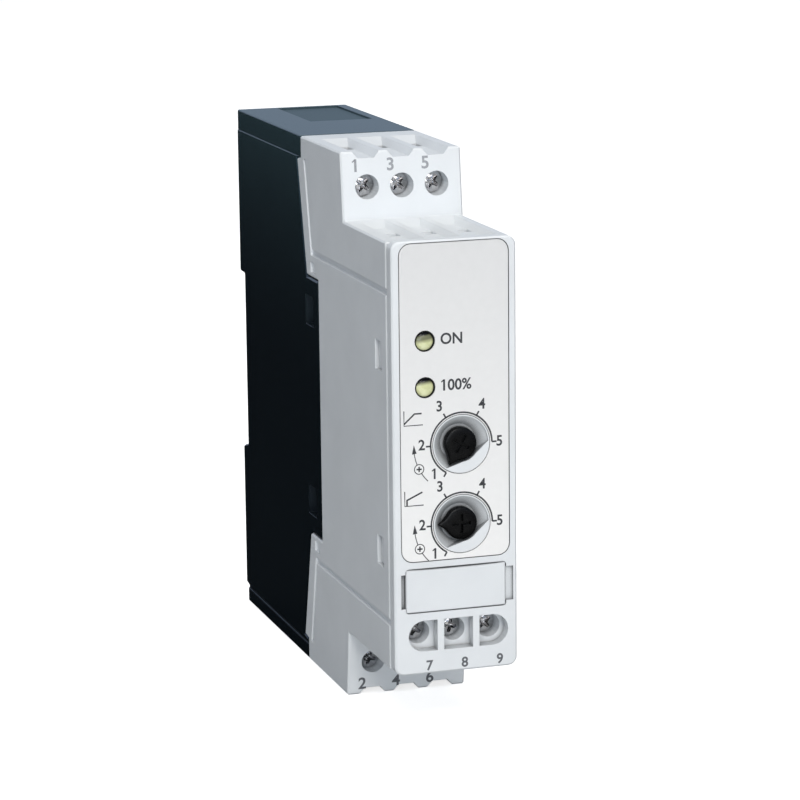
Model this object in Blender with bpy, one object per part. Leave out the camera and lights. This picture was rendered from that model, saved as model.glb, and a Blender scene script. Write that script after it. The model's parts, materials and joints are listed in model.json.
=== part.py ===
"""A 22.5 mm wide motor soft starter that clips on a 35 mm rail.

The pale front housing holds three rows of screw terminals and slides over the open front of
a dark rear housing. A pale cover with the face label, two lamps and two trimmer knobs snaps
on its nose, and a sprung latch at the back grips the rail. The circuit boards, the power
parts and all the clamps are inside.

The front faces -Y, +Z is up, and the origin is under the middle of the bottom.
"""

import math

import bmesh
import bpy
from mathutils import Matrix, Vector

MM = 0.001
TOP = 1
BOTTOM = -1
ENDS = (TOP, BOTTOM)
SIDES = (-1, 1)

# Overall size, and the gap between pieces that touch
WIDTH = 22.5 * MM
HEIGHT = 100.0 * MM
DEPTH = 100.4 * MM
GAP = 0.3 * MM
REACH = 1.0 * MM  # how far a cutting tool runs past the face that it opens
EDGE = 0.3 * MM  # edge rounding of the mouldings

# Side outline of the pale front housing: depths from the front of the nose,
# insets from the nearer end of the housing
COVER_DEPTH = 2.7 * MM
BODY_FRONT = COVER_DEPTH + GAP
NOSE_INSET = 11.8 * MM
LEDGE_DROP = 0.4 * MM
LEDGE_INSET = NOSE_INSET + LEDGE_DROP
STEP_FOOT = 28.0 * MM
STEP_HEAD = 29.4 * MM
SEAM_END = 54.9 * MM
SEAM_MIDDLE = 44.6 * MM
CAP = 4.0 * MM
WING_TIP = SEAM_END + 2.4 * MM
WING_ROOT = 52.0 * MM
WING_INSET = 25.4 * MM
WING_WALL = 0.9 * MM
SIDE_WALL = 1.4 * MM
END_WALL = 1.4 * MM
LEDGE_WALL = 2.6 * MM

# Trims on the sides of the front housing
GROOVE_INSET = 20.8 * MM
GROOVE_WIDTH = 1.25 * MM
GROOVE_FLOOR = 0.95 * MM
GROOVE_DEPTH = 0.5 * MM
GROOVE_TURN = SEAM_END - 6.3 * MM
GROOVE_END = SEAM_END - 2.4 * MM
NOTCH = 3.2 * MM
NOTCH_HEIGHT = 2.0 * MM
NOTCH_DEPTH = 0.5 * MM
NOTCH_INSET = 23.6 * MM
NOTCH_DEPTH_PLACE = 47.8 * MM

# Snap fits: cover to front housing, and front housing to rear housing
COVER_SNAP_RISE = 0.174 * HEIGHT
COVER_SNAP_FRONT = 6.0 * MM
COVER_SNAP_LENGTH = 3.7 * MM
COVER_SNAP_HEIGHT = 5.3 * MM
LEG_THICKNESS = 1.2 * MM
LEG_MARGIN = 0.8 * MM
LEG_TAIL = 1.6 * MM
BODY_SNAP_RISE = HEIGHT / 2 - WING_INSET - 6.5 * MM
BODY_SNAP_FRONT = 47.9 * MM
BODY_SNAP_LENGTH = 5.3 * MM
BODY_SNAP_HEIGHT = 5.6 * MM
TONGUE_THICKNESS = 1.1 * MM
TONGUE_MARGIN = 1.2 * MM
TONGUE_ROOT = 6.0 * MM
SNAP_DROP = 0.35 * MM  # how far a snap of the rear housing lies below the outer face
COVER_SNAP_DROP = 0.5 * MM

# Terminals
PITCH = 0.289 * WIDTH
PLACES = (-1, 0, 1)
CHAMBER_WIDTH = PITCH - 1.2 * MM
CLAMP_HEIGHT = 5.0 * MM
FUNNEL_MOUTH = PITCH - 1.5 * MM
FUNNEL_FLOOR = 3.0 * MM
FUNNEL_SLOPE = 3.6 * MM
WIRE_WIDTH = 3.0 * MM
SEAT_WALL = 0.8 * MM
BAR_WIDTH = 2.6 * MM

POWER_INSET = 6.3 * MM
POWER_BORE = 2.2 * MM
POWER_HEAD = 2.0 * MM
POWER_HEAD_RIM = 0.6 * MM
POWER_HEAD_DOME = 0.8 * MM
POWER_SHANK = 1.45 * MM
POWER_SEAT = 32.9 * MM
POWER_TRAVEL = 2.6 * MM
POWER_BAR = 40.0 * MM
POWER_BAR_THICKNESS = 1.0 * MM
POWER_WIRE = 3.6 * MM
POWER_SHEET = 0.8 * MM
POWER_PITCH_OF_THREAD = 0.5 * MM
POWER_FUNNEL = 1.2 * MM
POWER_CEILING = 2.7 * MM
POWER_FLOOR = 10.8 * MM

CONTROL_SHIFT = 0.4 * MM
CONTROL_LEVEL = NOSE_INSET + 6.85 * MM
CONTROL_BORE = 2.1 * MM
CONTROL_HEAD = 1.85 * MM
CONTROL_HEAD_RIM = 0.6 * MM
CONTROL_HEAD_DOME = 0.7 * MM
CONTROL_SHANK = 1.2 * MM
CONTROL_SEAT = 6.6 * MM
CONTROL_TRAVEL = 2.2 * MM
CONTROL_BAR = 13.7 * MM
CONTROL_BAR_THICKNESS = 0.8 * MM
CONTROL_WIRE = 3.2 * MM
CONTROL_SHEET = 0.7 * MM
CONTROL_FUNNEL = 1.0 * MM
CONTROL_FLOOR = CONTROL_LEVEL - 3.7 * MM
CONTROL_CEILING = CONTROL_LEVEL + 3.5 * MM
CONTROL_BLOCK_WALL = 1.4 * MM
CHAMBER_BACK = 0.8 * MM
THREAD_PLAY = 0.15 * MM

# Nose cover
COVER_CORNER = 1.6 * MM
COVER_PLATE = 2.0 * MM
COVER_RIM = 1.2 * MM
LABEL_WIDTH = WIDTH - 2.9 * MM
LABEL_LOW = 0.321 * HEIGHT
LABEL_HIGH = HEIGHT - NOSE_INSET - 0.5 * MM
LABEL_CORNER = 2.0 * MM
LABEL_THICKNESS = 0.25 * MM
LABEL_SET_BACK = 0.05 * MM
LABEL_PLAY = 0.15 * MM
PLATE_WIDTH = WIDTH - 4.3 * MM
PLATE_LOW = LABEL_LOW - 9.15 * MM
PLATE_HIGH = LABEL_LOW - 1.4 * MM
PLATE_THICKNESS = 0.9 * MM
PLATE_SET_BACK = 0.05 * MM
PLATE_PLAY = 0.12 * MM
PLATE_CORNER = 0.4 * MM
PRY_SLOT = 0.8 * MM
PRY_HEIGHT = 6.1 * MM
FINGER_WIDTH = 1.3 * MM
FINGER_DEPTH = 0.5 * MM
WINDOW_LOW = CONTROL_LEVEL - 2.75 * MM
WINDOW_HIGH = CONTROL_LEVEL + 2.75 * MM
WINDOW_RUN = WIDTH - 4.2 * MM
WINDOW_BAR = 1.2 * MM

# Trimmer knobs and their dials
DIAL_X = 1.15 * MM
DIAL_LEVELS = {"start_time": 0.5235 * HEIGHT, "initial_voltage": 0.382 * HEIGHT}
DIAL_FIRST = 240.0
DIAL_LAST = 0.0
DIAL_REST = {"start_time": 240.0, "initial_voltage": 180.0}
BOSS = 5.15 * MM
BOSS_PLAY = 0.12 * MM
DISH = 4.9 * MM
DISH_RIM = 0.4 * MM
DISH_FLOOR = 2.1 * MM
KNOB = 3.0 * MM
KNOB_TIP = 4.35 * MM
KNOB_FLANK = 36.0
KNOB_PLAY = 0.2 * MM
KNOB_SET_BACK = 0.15 * MM
KNOB_UNDER = 1.4 * MM
KNOB_TIP_UNDER = 0.6 * MM
KNOB_CROSS = 3.4 * MM
KNOB_CROSS_WIDTH = 0.6 * MM
KNOB_CROSS_DEPTH = 0.7 * MM
SHAFT = 1.5 * MM
SHAFT_END = 6.0 * MM
BOSS_BACK = 2.9 * MM
TRIMMER = 9.0 * MM

# Lamps
LAMP_X = 5.95 * MM - WIDTH / 2
LAMP_LEVELS = {"power": 0.708 * HEIGHT, "full_voltage": 0.627 * HEIGHT}
LAMP = 1.42 * MM
LAMP_DOME = 0.5 * MM
LAMP_SET_BACK = 0.15 * MM
LAMP_BODY = 5.2 * MM
LEADS = 0.6 * MM
HOLDER_BORE = 1.52 * MM
HOLDER = 1.74 * MM
HOLDER_SET_BACK = 0.2 * MM
LAMP_HOLE = 1.86 * MM

# Boards
BOARD = 1.6 * MM
CONTROL_BOARD = 8.5 * MM
CONTROL_BOARD_WIDTH = WIDTH - 6.4 * MM
CONTROL_BOARD_LOW = CONTROL_CEILING + CONTROL_BLOCK_WALL + 1.8 * MM
CONTROL_BOARD_HIGH = 0.79 * HEIGHT
POST = 1.2 * MM
POWER_BOARD_X = 3.85 * MM - WIDTH / 2
POWER_BOARD_INSET = 16.0 * MM
POWER_BOARD_STEP = 21.0 * MM
POWER_BOARD_STEP_LEVEL = CONTROL_CEILING + 5.5 * MM
FOOT_STEP = 4.0 * MM
FOOT_HEIGHT = 2.6 * MM

# Rear housing
REAR_WALL = 1.0 * MM
REAR_BACK = DEPTH - 5.6 * MM
REAR_END_WALL = 1.2 * MM
CAP_INSET = 0.15 * MM
BASE_LIP = 3.4 * MM
BASE_SET_BACK = 0.9 * MM
BASE_GROOVE = 0.7 * MM
POCKET_LEFT = -3.3 * MM
POCKET_RIGHT = WIDTH / 2 - 2.25 * MM
POCKET_FRONT = DEPTH - 24.9 * MM
POCKET_BACK = DEPTH - 1.4 * MM
POCKET_DEPTH = 0.35 * MM

# Rail seat: a 35 mm rail with 1 mm edges
RAIL = 35.0 * MM
RAIL_PLAY = 0.5 * MM
RAIL_FLOOR = DEPTH - 3.4 * MM
RAIL_EDGE = 1.3 * MM
RAIL_LEAD = 0.9 * MM
HOOK_DROP = 1.3 * MM
HOOK_INNER = 4.0 * MM
HOOK_OUTER = WIDTH / 2 - 2.75 * MM

# Sprung latch under the rail
LATCH_TRAVEL = 3.0 * MM
LATCH_FLANGE = 9.0 * MM
LATCH_WIDTH = 6.4 * MM
LATCH_FLANGE_THICKNESS = 1.2 * MM
LATCH_END = 4.2 * MM
LATCH_BACK = DEPTH - 0.3 * MM
LATCH_CEILING = (HEIGHT - RAIL) / 2 - 1.3 * MM
LATCH_GRIP = 1.5 * MM
TRACK_FLOOR = DEPTH - 3.8 * MM
SPRING_WINDOW = 3.8 * MM
SPRING_WINDOW_LOW = 9.0 * MM
SPRING_WINDOW_HIGH = LATCH_CEILING - 5.2 * MM
TOOL_SLOT = 4.8 * MM
TOOL_SLOT_LOW = 5.6 * MM
TOOL_SLOT_HEIGHT = 1.6 * MM
SPRING_POST = 2.4 * MM
SPRING_POST_LOW = 10.6 * MM
SPRING_POST_HEIGHT = 1.7 * MM
SPRING_RADIUS = 1.25 * MM
SPRING_WIRE = 0.2 * MM
SPRING_TURNS = 7

# Parts on the power board
HEAT_SINK = 1.5 * MM
HEAT_SINK_FRONT = SEAM_END + 0.12 * MM
HEAT_SINK_BACK = REAR_BACK - 1.8 * MM
HEAT_SINK_INSET = 24.0 * MM
MODULE_SIZE = (0.28 * DEPTH, 0.34 * HEIGHT)
MODULE_PLACE = (0.617 * DEPTH, 0.33 * HEIGHT)
RELAY_SIZE = (WIDTH - 9.9 * MM, 0.28 * DEPTH, 0.16 * HEIGHT)
RELAY_PLACE = (0.22 * DEPTH, 0.30 * HEIGHT)
CONNECTOR_SIZE = (3.0 * MM, 5.6 * MM, 12.0 * MM)
CONNECTOR_LEVEL = 0.46 * HEIGHT
CAPACITOR = 4.0 * MM
CAPACITOR_HEIGHT = WIDTH - 11.5 * MM
CAPACITOR_PLACE = (0.22 * DEPTH, 0.62 * HEIGHT)
VARISTOR = 5.0 * MM
VARISTOR_THICKNESS = 4.0 * MM
VARISTOR_PLACE = (0.38 * DEPTH, 0.58 * HEIGHT)

ROUND = 24  # sides of a bore or a dial
SMALL_ROUND = 16  # sides of a screw or a lamp


# Places

def y(depth):
    """The Y of a place at this depth behind the front of the nose."""
    return depth - DEPTH / 2


def level(end, inset):
    """The Z of a place at this inset from the top or the bottom end."""
    return HEIGHT - inset if end == TOP else inset


def both_ends(points):
    """A closed side outline from the points of its top half, as depths and insets."""
    upper = [(y(depth), level(TOP, inset)) for depth, inset in points]
    lower = [(y(depth), level(BOTTOM, inset)) for depth, inset in reversed(points)]
    return upper + lower


def terminal_x(place, shift=0.0):
    """The X of a terminal in a row of three."""
    return place * PITCH + shift


# Shapes

def material(name, colour, roughness, metallic=0.0):
    """A plain finish for a sub-part."""
    made = bpy.data.materials.new(name)
    made.use_nodes = True
    shader = made.node_tree.nodes["Principled BSDF"]
    shader.inputs["Base Color"].default_value = (*colour, 1.0)
    shader.inputs["Roughness"].default_value = roughness
    shader.inputs["Metallic"].default_value = metallic
    return made


def mesh_of(name, bm):
    """A mesh from a bmesh, with its faces pointing out."""
    bmesh.ops.recalc_face_normals(bm, faces=bm.faces)
    mesh = bpy.data.meshes.new(name)
    bm.to_mesh(mesh)
    bm.free()
    return mesh


def as_object(name, mesh):
    """An object that no collection holds yet."""
    return bpy.data.objects.new(name, mesh)


def prism(name, outline, axis, start, end):
    """The outline swept along X, Y or Z; its points are in the two other axes."""
    orders = {"X": lambda a, b, c: (c, a, b), "Y": lambda a, b, c: (a, c, b), "Z": lambda a, b, c: (a, b, c)}
    place = orders[axis]
    bm = bmesh.new()
    first = [bm.verts.new(place(a, b, start)) for a, b in outline]
    face = bm.faces.new(first)
    swept = bmesh.ops.extrude_face_region(bm, geom=[face])
    moved = [item for item in swept["geom"] if isinstance(item, bmesh.types.BMVert)]
    bmesh.ops.translate(bm, verts=moved, vec=Vector(place(0, 0, end - start)))
    return as_object(name, mesh_of(name, bm))


def box(name, x_span, y_span, z_span):
    """A block between two places on each axis."""
    outline = [(x_span[0], y_span[0]), (x_span[1], y_span[0]), (x_span[1], y_span[1]), (x_span[0], y_span[1])]
    return prism(name, outline, "Z", *z_span)


def arc(centre, radius, first, last, steps):
    """Points along an arc from one angle to another, in degrees, both ends included."""
    steps = round(steps)
    angles = [math.radians(first + (last - first) * i / steps) for i in range(steps + 1)]
    return [(centre[0] + radius * math.cos(a), centre[1] + radius * math.sin(a)) for a in angles]


def circle(centre, radius, sides):
    """The corners of a round outline."""
    return arc(centre, radius, 0.0, 360.0, sides)[:-1]


def rounded(low, high, radius, steps=4):
    """A rectangle with round corners."""
    corners = (
        ((high[0] - radius, high[1] - radius), 0.0),
        ((low[0] + radius, high[1] - radius), 90.0),
        ((low[0] + radius, low[1] + radius), 180.0),
        ((high[0] - radius, low[1] + radius), 270.0),
    )
    points = []
    for centre, first in corners:
        points += arc(centre, radius, first, first + 90.0, steps)
    return points


def rod(name, x, z, radius, y_span, sides=ROUND):
    """A round bar along Y."""
    return prism(name, circle((x, z), radius, sides), "Y", *y_span)


def turned(name, profile, sides):
    """A solid turned about its own Y axis, from points of radius and depth, front to back."""
    sides = round(sides)
    bm = bmesh.new()
    rings = []
    for radius, along in profile:
        if radius == 0.0:
            rings.append([bm.verts.new((0.0, along, 0.0))])
        else:
            rings.append([bm.verts.new((a, along, b)) for a, b in circle((0.0, 0.0), radius, sides)])
    for near, far in zip(rings, rings[1:]):
        for i in range(sides):
            j = (i + 1) % sides
            if len(near) == 1:
                bm.faces.new((near[0], far[i], far[j]))
            elif len(far) == 1:
                bm.faces.new((near[i], near[j], far[0]))
            else:
                bm.faces.new((near[i], near[j], far[j], far[i]))
    return as_object(name, mesh_of(name, bm))


def lofted(name, rings):
    """A solid through rings of the same number of points, closed at both ends."""
    bm = bmesh.new()
    made = [[bm.verts.new(point) for point in ring] for ring in rings]
    count = len(made[0])
    bm.faces.new(made[0])
    bm.faces.new(made[-1])
    for near, far in zip(made, made[1:]):
        for i in range(count):
            j = (i + 1) % count
            bm.faces.new((near[i], near[j], far[j], far[i]))
    return as_object(name, mesh_of(name, bm))


def combine(target, operation, tools):
    """Joins or cuts the tools, which stay in the file as hidden wire objects."""
    label = f"{target.name}_{operation.lower()}_{len(target.modifiers)}"
    group = bpy.data.collections.new(label)
    bpy.context.scene.collection.children.link(group)
    for tool in tools:
        group.objects.link(tool)
        tool.hide_render = True
        tool.display_type = "WIRE"
    modifier = target.modifiers.new(label, "BOOLEAN")
    modifier.operation = operation
    modifier.operand_type = "COLLECTION"
    modifier.collection = group
    modifier.solver = "EXACT"
    return target


def cut(target, tools):
    return combine(target, "DIFFERENCE", tools)


def join(target, tools):
    return combine(target, "UNION", tools)


def soften(target, width=EDGE):
    """Rounds the moulding's sharp edges."""
    modifier = target.modifiers.new("edges", "BEVEL")
    modifier.width = width
    modifier.segments = 1
    modifier.limit_method = "ANGLE"
    modifier.angle_limit = math.radians(55.0)
    return target


def finished_mesh(target):
    """The mesh that the modifiers leave, for pieces that are repeated."""
    bpy.context.scene.collection.objects.link(target)
    bpy.context.view_layer.update()
    graph = bpy.context.evaluated_depsgraph_get()
    mesh = bpy.data.meshes.new_from_object(target.evaluated_get(graph))
    bpy.context.scene.collection.objects.unlink(target)
    return mesh


def node(target, finish, name=None, place=None):
    """Puts a sub-part in the scene with its finish."""
    if name:
        target.name = name
    if place:
        target.location = place
    bpy.context.scene.collection.objects.link(target)
    target.parent = bpy.data.objects["soft_starter"]
    if not target.data.materials:
        target.data.materials.append(finish)
    target.data.shade_smooth()
    target.data.set_sharp_from_angle(angle=math.radians(35.0))
    return target


# Finishes

def make_finishes():
    return {
        "pale_housing": material("pale_housing", (0.76, 0.78, 0.80), 0.45),
        "dark_housing": material("dark_housing", (0.012, 0.018, 0.028), 0.40),
        "label_film": material("label_film", (0.74, 0.74, 0.74), 0.35),
        "black_knob": material("black_knob", (0.01, 0.01, 0.01), 0.30),
        "lamp_lens": material("lamp_lens", (0.68, 0.72, 0.42), 0.15),
        "black_plastic": material("black_plastic", (0.01, 0.01, 0.012), 0.5),
        "screw_zinc": material("screw_zinc", (0.75, 0.75, 0.73), 0.25, 1.0),
        "clamp_steel": material("clamp_steel", (0.62, 0.62, 0.60), 0.35, 1.0),
        "tinned_copper": material("tinned_copper", (0.70, 0.68, 0.64), 0.30, 1.0),
        "board_green": material("board_green", (0.02, 0.10, 0.05), 0.45),
        "aluminium": material("aluminium", (0.72, 0.73, 0.75), 0.35, 1.0),
        "relay_blue": material("relay_blue", (0.02, 0.05, 0.12), 0.4),
        "varistor_blue": material("varistor_blue", (0.02, 0.12, 0.35), 0.4),
        "trimmer_grey": material("trimmer_grey", (0.25, 0.26, 0.28), 0.5),
        "spring_steel": material("spring_steel", (0.60, 0.61, 0.63), 0.3, 1.0),
    }


# Terminals

def funnel(name, x, end, surface, depth, front, back):
    """A wire funnel: a channel with sloping sides and a sloping back wall."""
    sections = (
        (FUNNEL_FLOOR / 2, back - FUNNEL_SLOPE, surface + depth),
        (FUNNEL_MOUTH / 2, back, surface),
        (FUNNEL_MOUTH / 2, back, surface - REACH),
    )
    rings = []
    for half, rear, inset in sections:
        z = level(end, inset)
        rings.append([
            (x - half, y(front), z), (x + half, y(front), z), (x + half, y(rear), z), (x - half, y(rear), z),
        ])
    return lofted(name, rings)


def z_span(end, first, last):
    """Two insets from one end as an ordered pair of levels."""
    return tuple(sorted((level(end, first), level(end, last))))


def power_terminal_cuts():
    """Screw bores, clamp chambers, wire holes and bar slots of the line and load terminals."""
    tools = []
    chamber_front = POWER_SEAT + SEAT_WALL
    wire_front = POWER_BAR + POWER_BAR_THICKNESS + GAP
    wire_back = wire_front + POWER_WIRE
    chamber_end = POWER_BAR + POWER_BAR_THICKNESS + POWER_WIRE + POWER_SHEET + CHAMBER_BACK
    for end in ENDS:
        for place in PLACES:
            x = terminal_x(place)
            z = level(end, POWER_INSET)
            name = f"power_{end}_{place}"
            tools.append(rod(f"{name}_bore", x, z, POWER_BORE, (y(STEP_FOOT - 2 * REACH), y(POWER_SEAT))))
            tools.append(rod(
                f"{name}_shank", x, z, POWER_SHANK + GAP, (y(POWER_SEAT - REACH), y(chamber_front + REACH)),
                SMALL_ROUND))
            half = CHAMBER_WIDTH / 2
            tools.append(box(
                f"{name}_chamber", (x - half, x + half), (y(chamber_front), y(chamber_end)),
                z_span(end, POWER_CEILING, POWER_FLOOR)))
            half = WIRE_WIDTH / 2
            tools.append(box(
                f"{name}_wire", (x - half, x + half), (y(wire_front), y(wire_back)),
                z_span(end, -REACH, POWER_CEILING + REACH)))
            half = BAR_WIDTH / 2 + GAP
            tools.append(box(
                f"{name}_bar", (x - half, x + half),
                (y(POWER_BAR - GAP), y(POWER_BAR + POWER_BAR_THICKNESS + GAP)),
                z_span(end, POWER_FLOOR - REACH, LEDGE_INSET + REACH)))
            tools.append(funnel(
                f"{name}_funnel", x, end, 0.0, POWER_FUNNEL, STEP_FOOT - 2 * REACH,
                wire_back + GAP + FUNNEL_SLOPE))
    return tools


def control_terminal_cuts():
    """The same for the control terminals in the nose, and blind funnels on the upper ledge."""
    tools = []
    chamber_front = CONTROL_SEAT + SEAT_WALL + GAP
    wire_front = CONTROL_BAR + CONTROL_BAR_THICKNESS + GAP
    wire_back = wire_front + CONTROL_WIRE - GAP
    chamber_end = CONTROL_BAR + CONTROL_BAR_THICKNESS + CONTROL_WIRE + CONTROL_SHEET + GAP
    for place in PLACES:
        x = terminal_x(place, CONTROL_SHIFT)
        name = f"control_{place}"
        tools.append(rod(
            f"{name}_bore", x, CONTROL_LEVEL, CONTROL_BORE, (y(BODY_FRONT - REACH), y(CONTROL_SEAT))))
        tools.append(rod(
            f"{name}_shank", x, CONTROL_LEVEL, CONTROL_SHANK + GAP,
            (y(CONTROL_SEAT - REACH), y(chamber_front + REACH)), SMALL_ROUND))
        half = CHAMBER_WIDTH / 2
        tools.append(box(
            f"{name}_chamber", (x - half, x + half), (y(chamber_front), y(chamber_end)),
            (CONTROL_FLOOR, CONTROL_CEILING)))
        half = WIRE_WIDTH / 2
        tools.append(box(
            f"{name}_wire", (x - half, x + half), (y(wire_front), y(wire_back)),
            (LEDGE_INSET - REACH, CONTROL_FLOOR + REACH)))
        half = BAR_WIDTH / 2 + GAP
        tools.append(box(
            f"{name}_bar", (x - half, x + half),
            (y(CONTROL_BAR - GAP), y(CONTROL_BAR + CONTROL_BAR_THICKNESS + GAP)),
            (CONTROL_CEILING - REACH, CONTROL_CEILING + CONTROL_BLOCK_WALL + REACH)))
        half = WIRE_WIDTH / 2
        tools.append(box(
            f"{name}_blind", (x - half, x + half), (y(wire_front), y(wire_back)),
            z_span(TOP, LEDGE_INSET - REACH, LEDGE_INSET + CONTROL_FUNNEL + CONTROL_FUNNEL)))
        for end in ENDS:
            tools.append(funnel(
                f"{name}_funnel_{end}", x, end, LEDGE_INSET, CONTROL_FUNNEL,
                BODY_FRONT + END_WALL, STEP_FOOT - GAP))
    return tools


# Front housing

def front_outline():
    return both_ends([
        (BODY_FRONT, LEDGE_INSET),
        (STEP_FOOT, LEDGE_INSET),
        (STEP_HEAD, 0.0),
        (SEAM_END, 0.0),
        (SEAM_END, CAP),
        (WING_TIP, CAP + EDGE),
        (WING_ROOT, WING_INSET),
        (SEAM_MIDDLE, WING_INSET),
    ])


def block_end():
    """The depth at which the power terminal blocks end."""
    return POWER_BAR + POWER_BAR_THICKNESS + POWER_WIRE + POWER_SHEET + CHAMBER_BACK + CHAMBER_BACK


def block_inset():
    """The inset at which the power terminal blocks end."""
    return POWER_FLOOR + SIDE_WALL


def nose_cavity():
    """The room for the boards, which leaves a solid block round the control terminals."""
    inner = WIDTH / 2 - SIDE_WALL
    control_top = CONTROL_CEILING + CONTROL_BLOCK_WALL
    control_back = CONTROL_BAR + CONTROL_BAR_THICKNESS + CONTROL_WIRE + CONTROL_SHEET + GAP + CHAMBER_BACK
    ledge = LEDGE_INSET + LEDGE_WALL
    past = SEAM_MIDDLE + REACH
    outline = [
        (y(BODY_FRONT - REACH), control_top),
        (y(control_back), control_top),
        (y(control_back), ledge),
        (y(STEP_HEAD), ledge),
        (y(STEP_HEAD), block_inset()),
        (y(past), block_inset()),
        (y(past), level(TOP, block_inset())),
        (y(STEP_HEAD), level(TOP, block_inset())),
        (y(STEP_HEAD), level(TOP, ledge)),
        (y(BODY_FRONT - REACH), level(TOP, ledge)),
    ]
    return prism("nose_cavity", outline, "X", -inner, inner)


def wing_cavity():
    """The room behind, into which the rear housing slides."""
    inner = WIDTH / 2 - WING_WALL
    outline = both_ends([
        (SEAM_MIDDLE + GAP, block_inset()),
        (block_end(), block_inset()),
        (block_end(), END_WALL),
        (WING_TIP + REACH, END_WALL),
    ])
    return prism("wing_cavity", outline, "X", -inner, inner)


def ribbon(points, width):
    """The outline of a band of even width along a bent line."""
    left, right = [], []
    for i, point in enumerate(points):
        here = Vector(point)
        legs = []
        if i > 0:
            legs.append((here - Vector(points[i - 1])).normalized())
        if i < len(points) - 1:
            legs.append((Vector(points[i + 1]) - here).normalized())
        along = sum(legs, Vector((0.0, 0.0))).normalized()
        across = Vector((-along.y, along.x)) * (width / 2 / along.dot(legs[0]))
        left.append(tuple(here + across))
        right.append(tuple(here - across))
    return left + right[::-1]


def side_trims():
    """A groove along each end of both sides, which turns along the wing, and a notch behind it."""
    tools = []
    for side in SIDES:
        floor = side * (WIDTH / 2 - GROOVE_DEPTH)
        outside = side * (WIDTH / 2 + REACH)
        flare = (GROOVE_WIDTH - GROOVE_FLOOR) / GROOVE_DEPTH
        mouth = GROOVE_WIDTH + flare * REACH
        for end in ENDS:
            line = [
                (y(BODY_FRONT - REACH), level(end, GROOVE_INSET)),
                (y(GROOVE_TURN), level(end, GROOVE_INSET)),
                (y(GROOVE_END), level(end, CAP)),
            ]
            rings = [
                [(x, a, b) for a, b in ribbon(line, width)]
                for x, width in ((floor, GROOVE_FLOOR), (outside, mouth))
            ]
            tools.append(lofted(f"groove_{side}_{end}", rings))
            tools.append(box(
                f"notch_{side}_{end}", sorted((side * (WIDTH / 2 - NOTCH_DEPTH), outside)),
                (y(NOTCH_DEPTH_PLACE - NOTCH / 2), y(NOTCH_DEPTH_PLACE + NOTCH / 2)),
                z_span(end, NOTCH_INSET - NOTCH_HEIGHT / 2, NOTCH_INSET + NOTCH_HEIGHT / 2)))
    return tools


def cover_windows():
    """Windows in both side walls for the snaps of the nose cover."""
    tools = []
    inner = WIDTH / 2 - SIDE_WALL - REACH
    for side in SIDES:
        for end in ENDS:
            middle = HEIGHT / 2 + end * COVER_SNAP_RISE
            tools.append(box(
                f"cover_window_{side}_{end}", sorted((side * inner, side * (WIDTH / 2 + REACH))),
                (y(COVER_SNAP_FRONT), y(COVER_SNAP_FRONT + COVER_SNAP_LENGTH)),
                (middle - COVER_SNAP_HEIGHT / 2, middle + COVER_SNAP_HEIGHT / 2)))
    return tools


def body_tongues():
    """Tongues that carry the snaps into the windows of the rear housing."""
    tools = []
    outer = rear_inner() - GAP
    for side in SIDES:
        for end in ENDS:
            middle = HEIGHT / 2 + end * BODY_SNAP_RISE
            half = BODY_SNAP_HEIGHT / 2 + TONGUE_MARGIN
            inner = outer - TONGUE_THICKNESS
            back = BODY_SNAP_FRONT + BODY_SNAP_LENGTH
            root = SEAM_MIDDLE - TONGUE_ROOT
            outline = [
                (side * inner, y(root)),
                (side * (WIDTH / 2 - SIDE_WALL + SNAP_DROP), y(root)),
                (side * (WIDTH / 2 - SIDE_WALL + SNAP_DROP), y(SEAM_MIDDLE - SNAP_DROP)),
                (side * outer, y(SEAM_MIDDLE - SNAP_DROP)),
                (side * outer, y(back)),
                (side * inner, y(back)),
            ]
            tools.append(prism(f"tongue_{side}_{end}", outline, "Z", middle - half, middle + half))
            half = BODY_SNAP_HEIGHT / 2 - GAP
            lug = [
                (side * (outer - SNAP_DROP), y(BODY_SNAP_FRONT + GAP)),
                (side * (WIDTH / 2 - SNAP_DROP), y(BODY_SNAP_FRONT + GAP)),
                (side * (outer + SNAP_DROP), y(back - GAP)),
                (side * (outer - SNAP_DROP), y(back - GAP)),
            ]
            tools.append(prism(f"lug_{side}_{end}", lug, "Z", middle - half, middle + half))
    return tools


def build_front_housing(finishes):
    body = prism("front_housing", front_outline(), "X", -WIDTH / 2, WIDTH / 2)
    soften(body)
    cut(body, [nose_cavity(), wing_cavity()])
    cut(body, side_trims() + cover_windows())
    cut(body, power_terminal_cuts() + control_terminal_cuts())
    join(body, body_tongues())
    return node(body, finishes["pale_housing"])


# Nose cover with its label and marker plate

def window_spans():
    """The left and right ends of the three windows over the control screws."""
    left = CONTROL_SHIFT - WINDOW_RUN / 2
    bars = [CONTROL_SHIFT - PITCH / 2, CONTROL_SHIFT + PITCH / 2]
    edges = [left]
    for bar in bars:
        edges += [bar - WINDOW_BAR / 2, bar + WINDOW_BAR / 2]
    edges.append(CONTROL_SHIFT + WINDOW_RUN / 2)
    return list(zip(edges[::2], edges[1::2]))


def window_outline(place, span):
    """A window whose outer side is a half circle at both ends of the row."""
    left, right = span
    radius = (WINDOW_HIGH - WINDOW_LOW) / 2
    middle = (WINDOW_HIGH + WINDOW_LOW) / 2
    if place == -1:
        return [(right, WINDOW_LOW), (right, WINDOW_HIGH)] + arc((left + radius, middle), radius, 90.0, 270.0, 10)
    if place == 1:
        return [(left, WINDOW_HIGH), (left, WINDOW_LOW)] + arc((right - radius, middle), radius, -90.0, 90.0, 10)
    return [(left, WINDOW_LOW), (right, WINDOW_LOW), (right, WINDOW_HIGH), (left, WINDOW_HIGH)]


def label_outline(play):
    half = LABEL_WIDTH / 2 + play
    return rounded((-half, LABEL_LOW - play), (half, LABEL_HIGH + play), LABEL_CORNER + play, 5)


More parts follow.
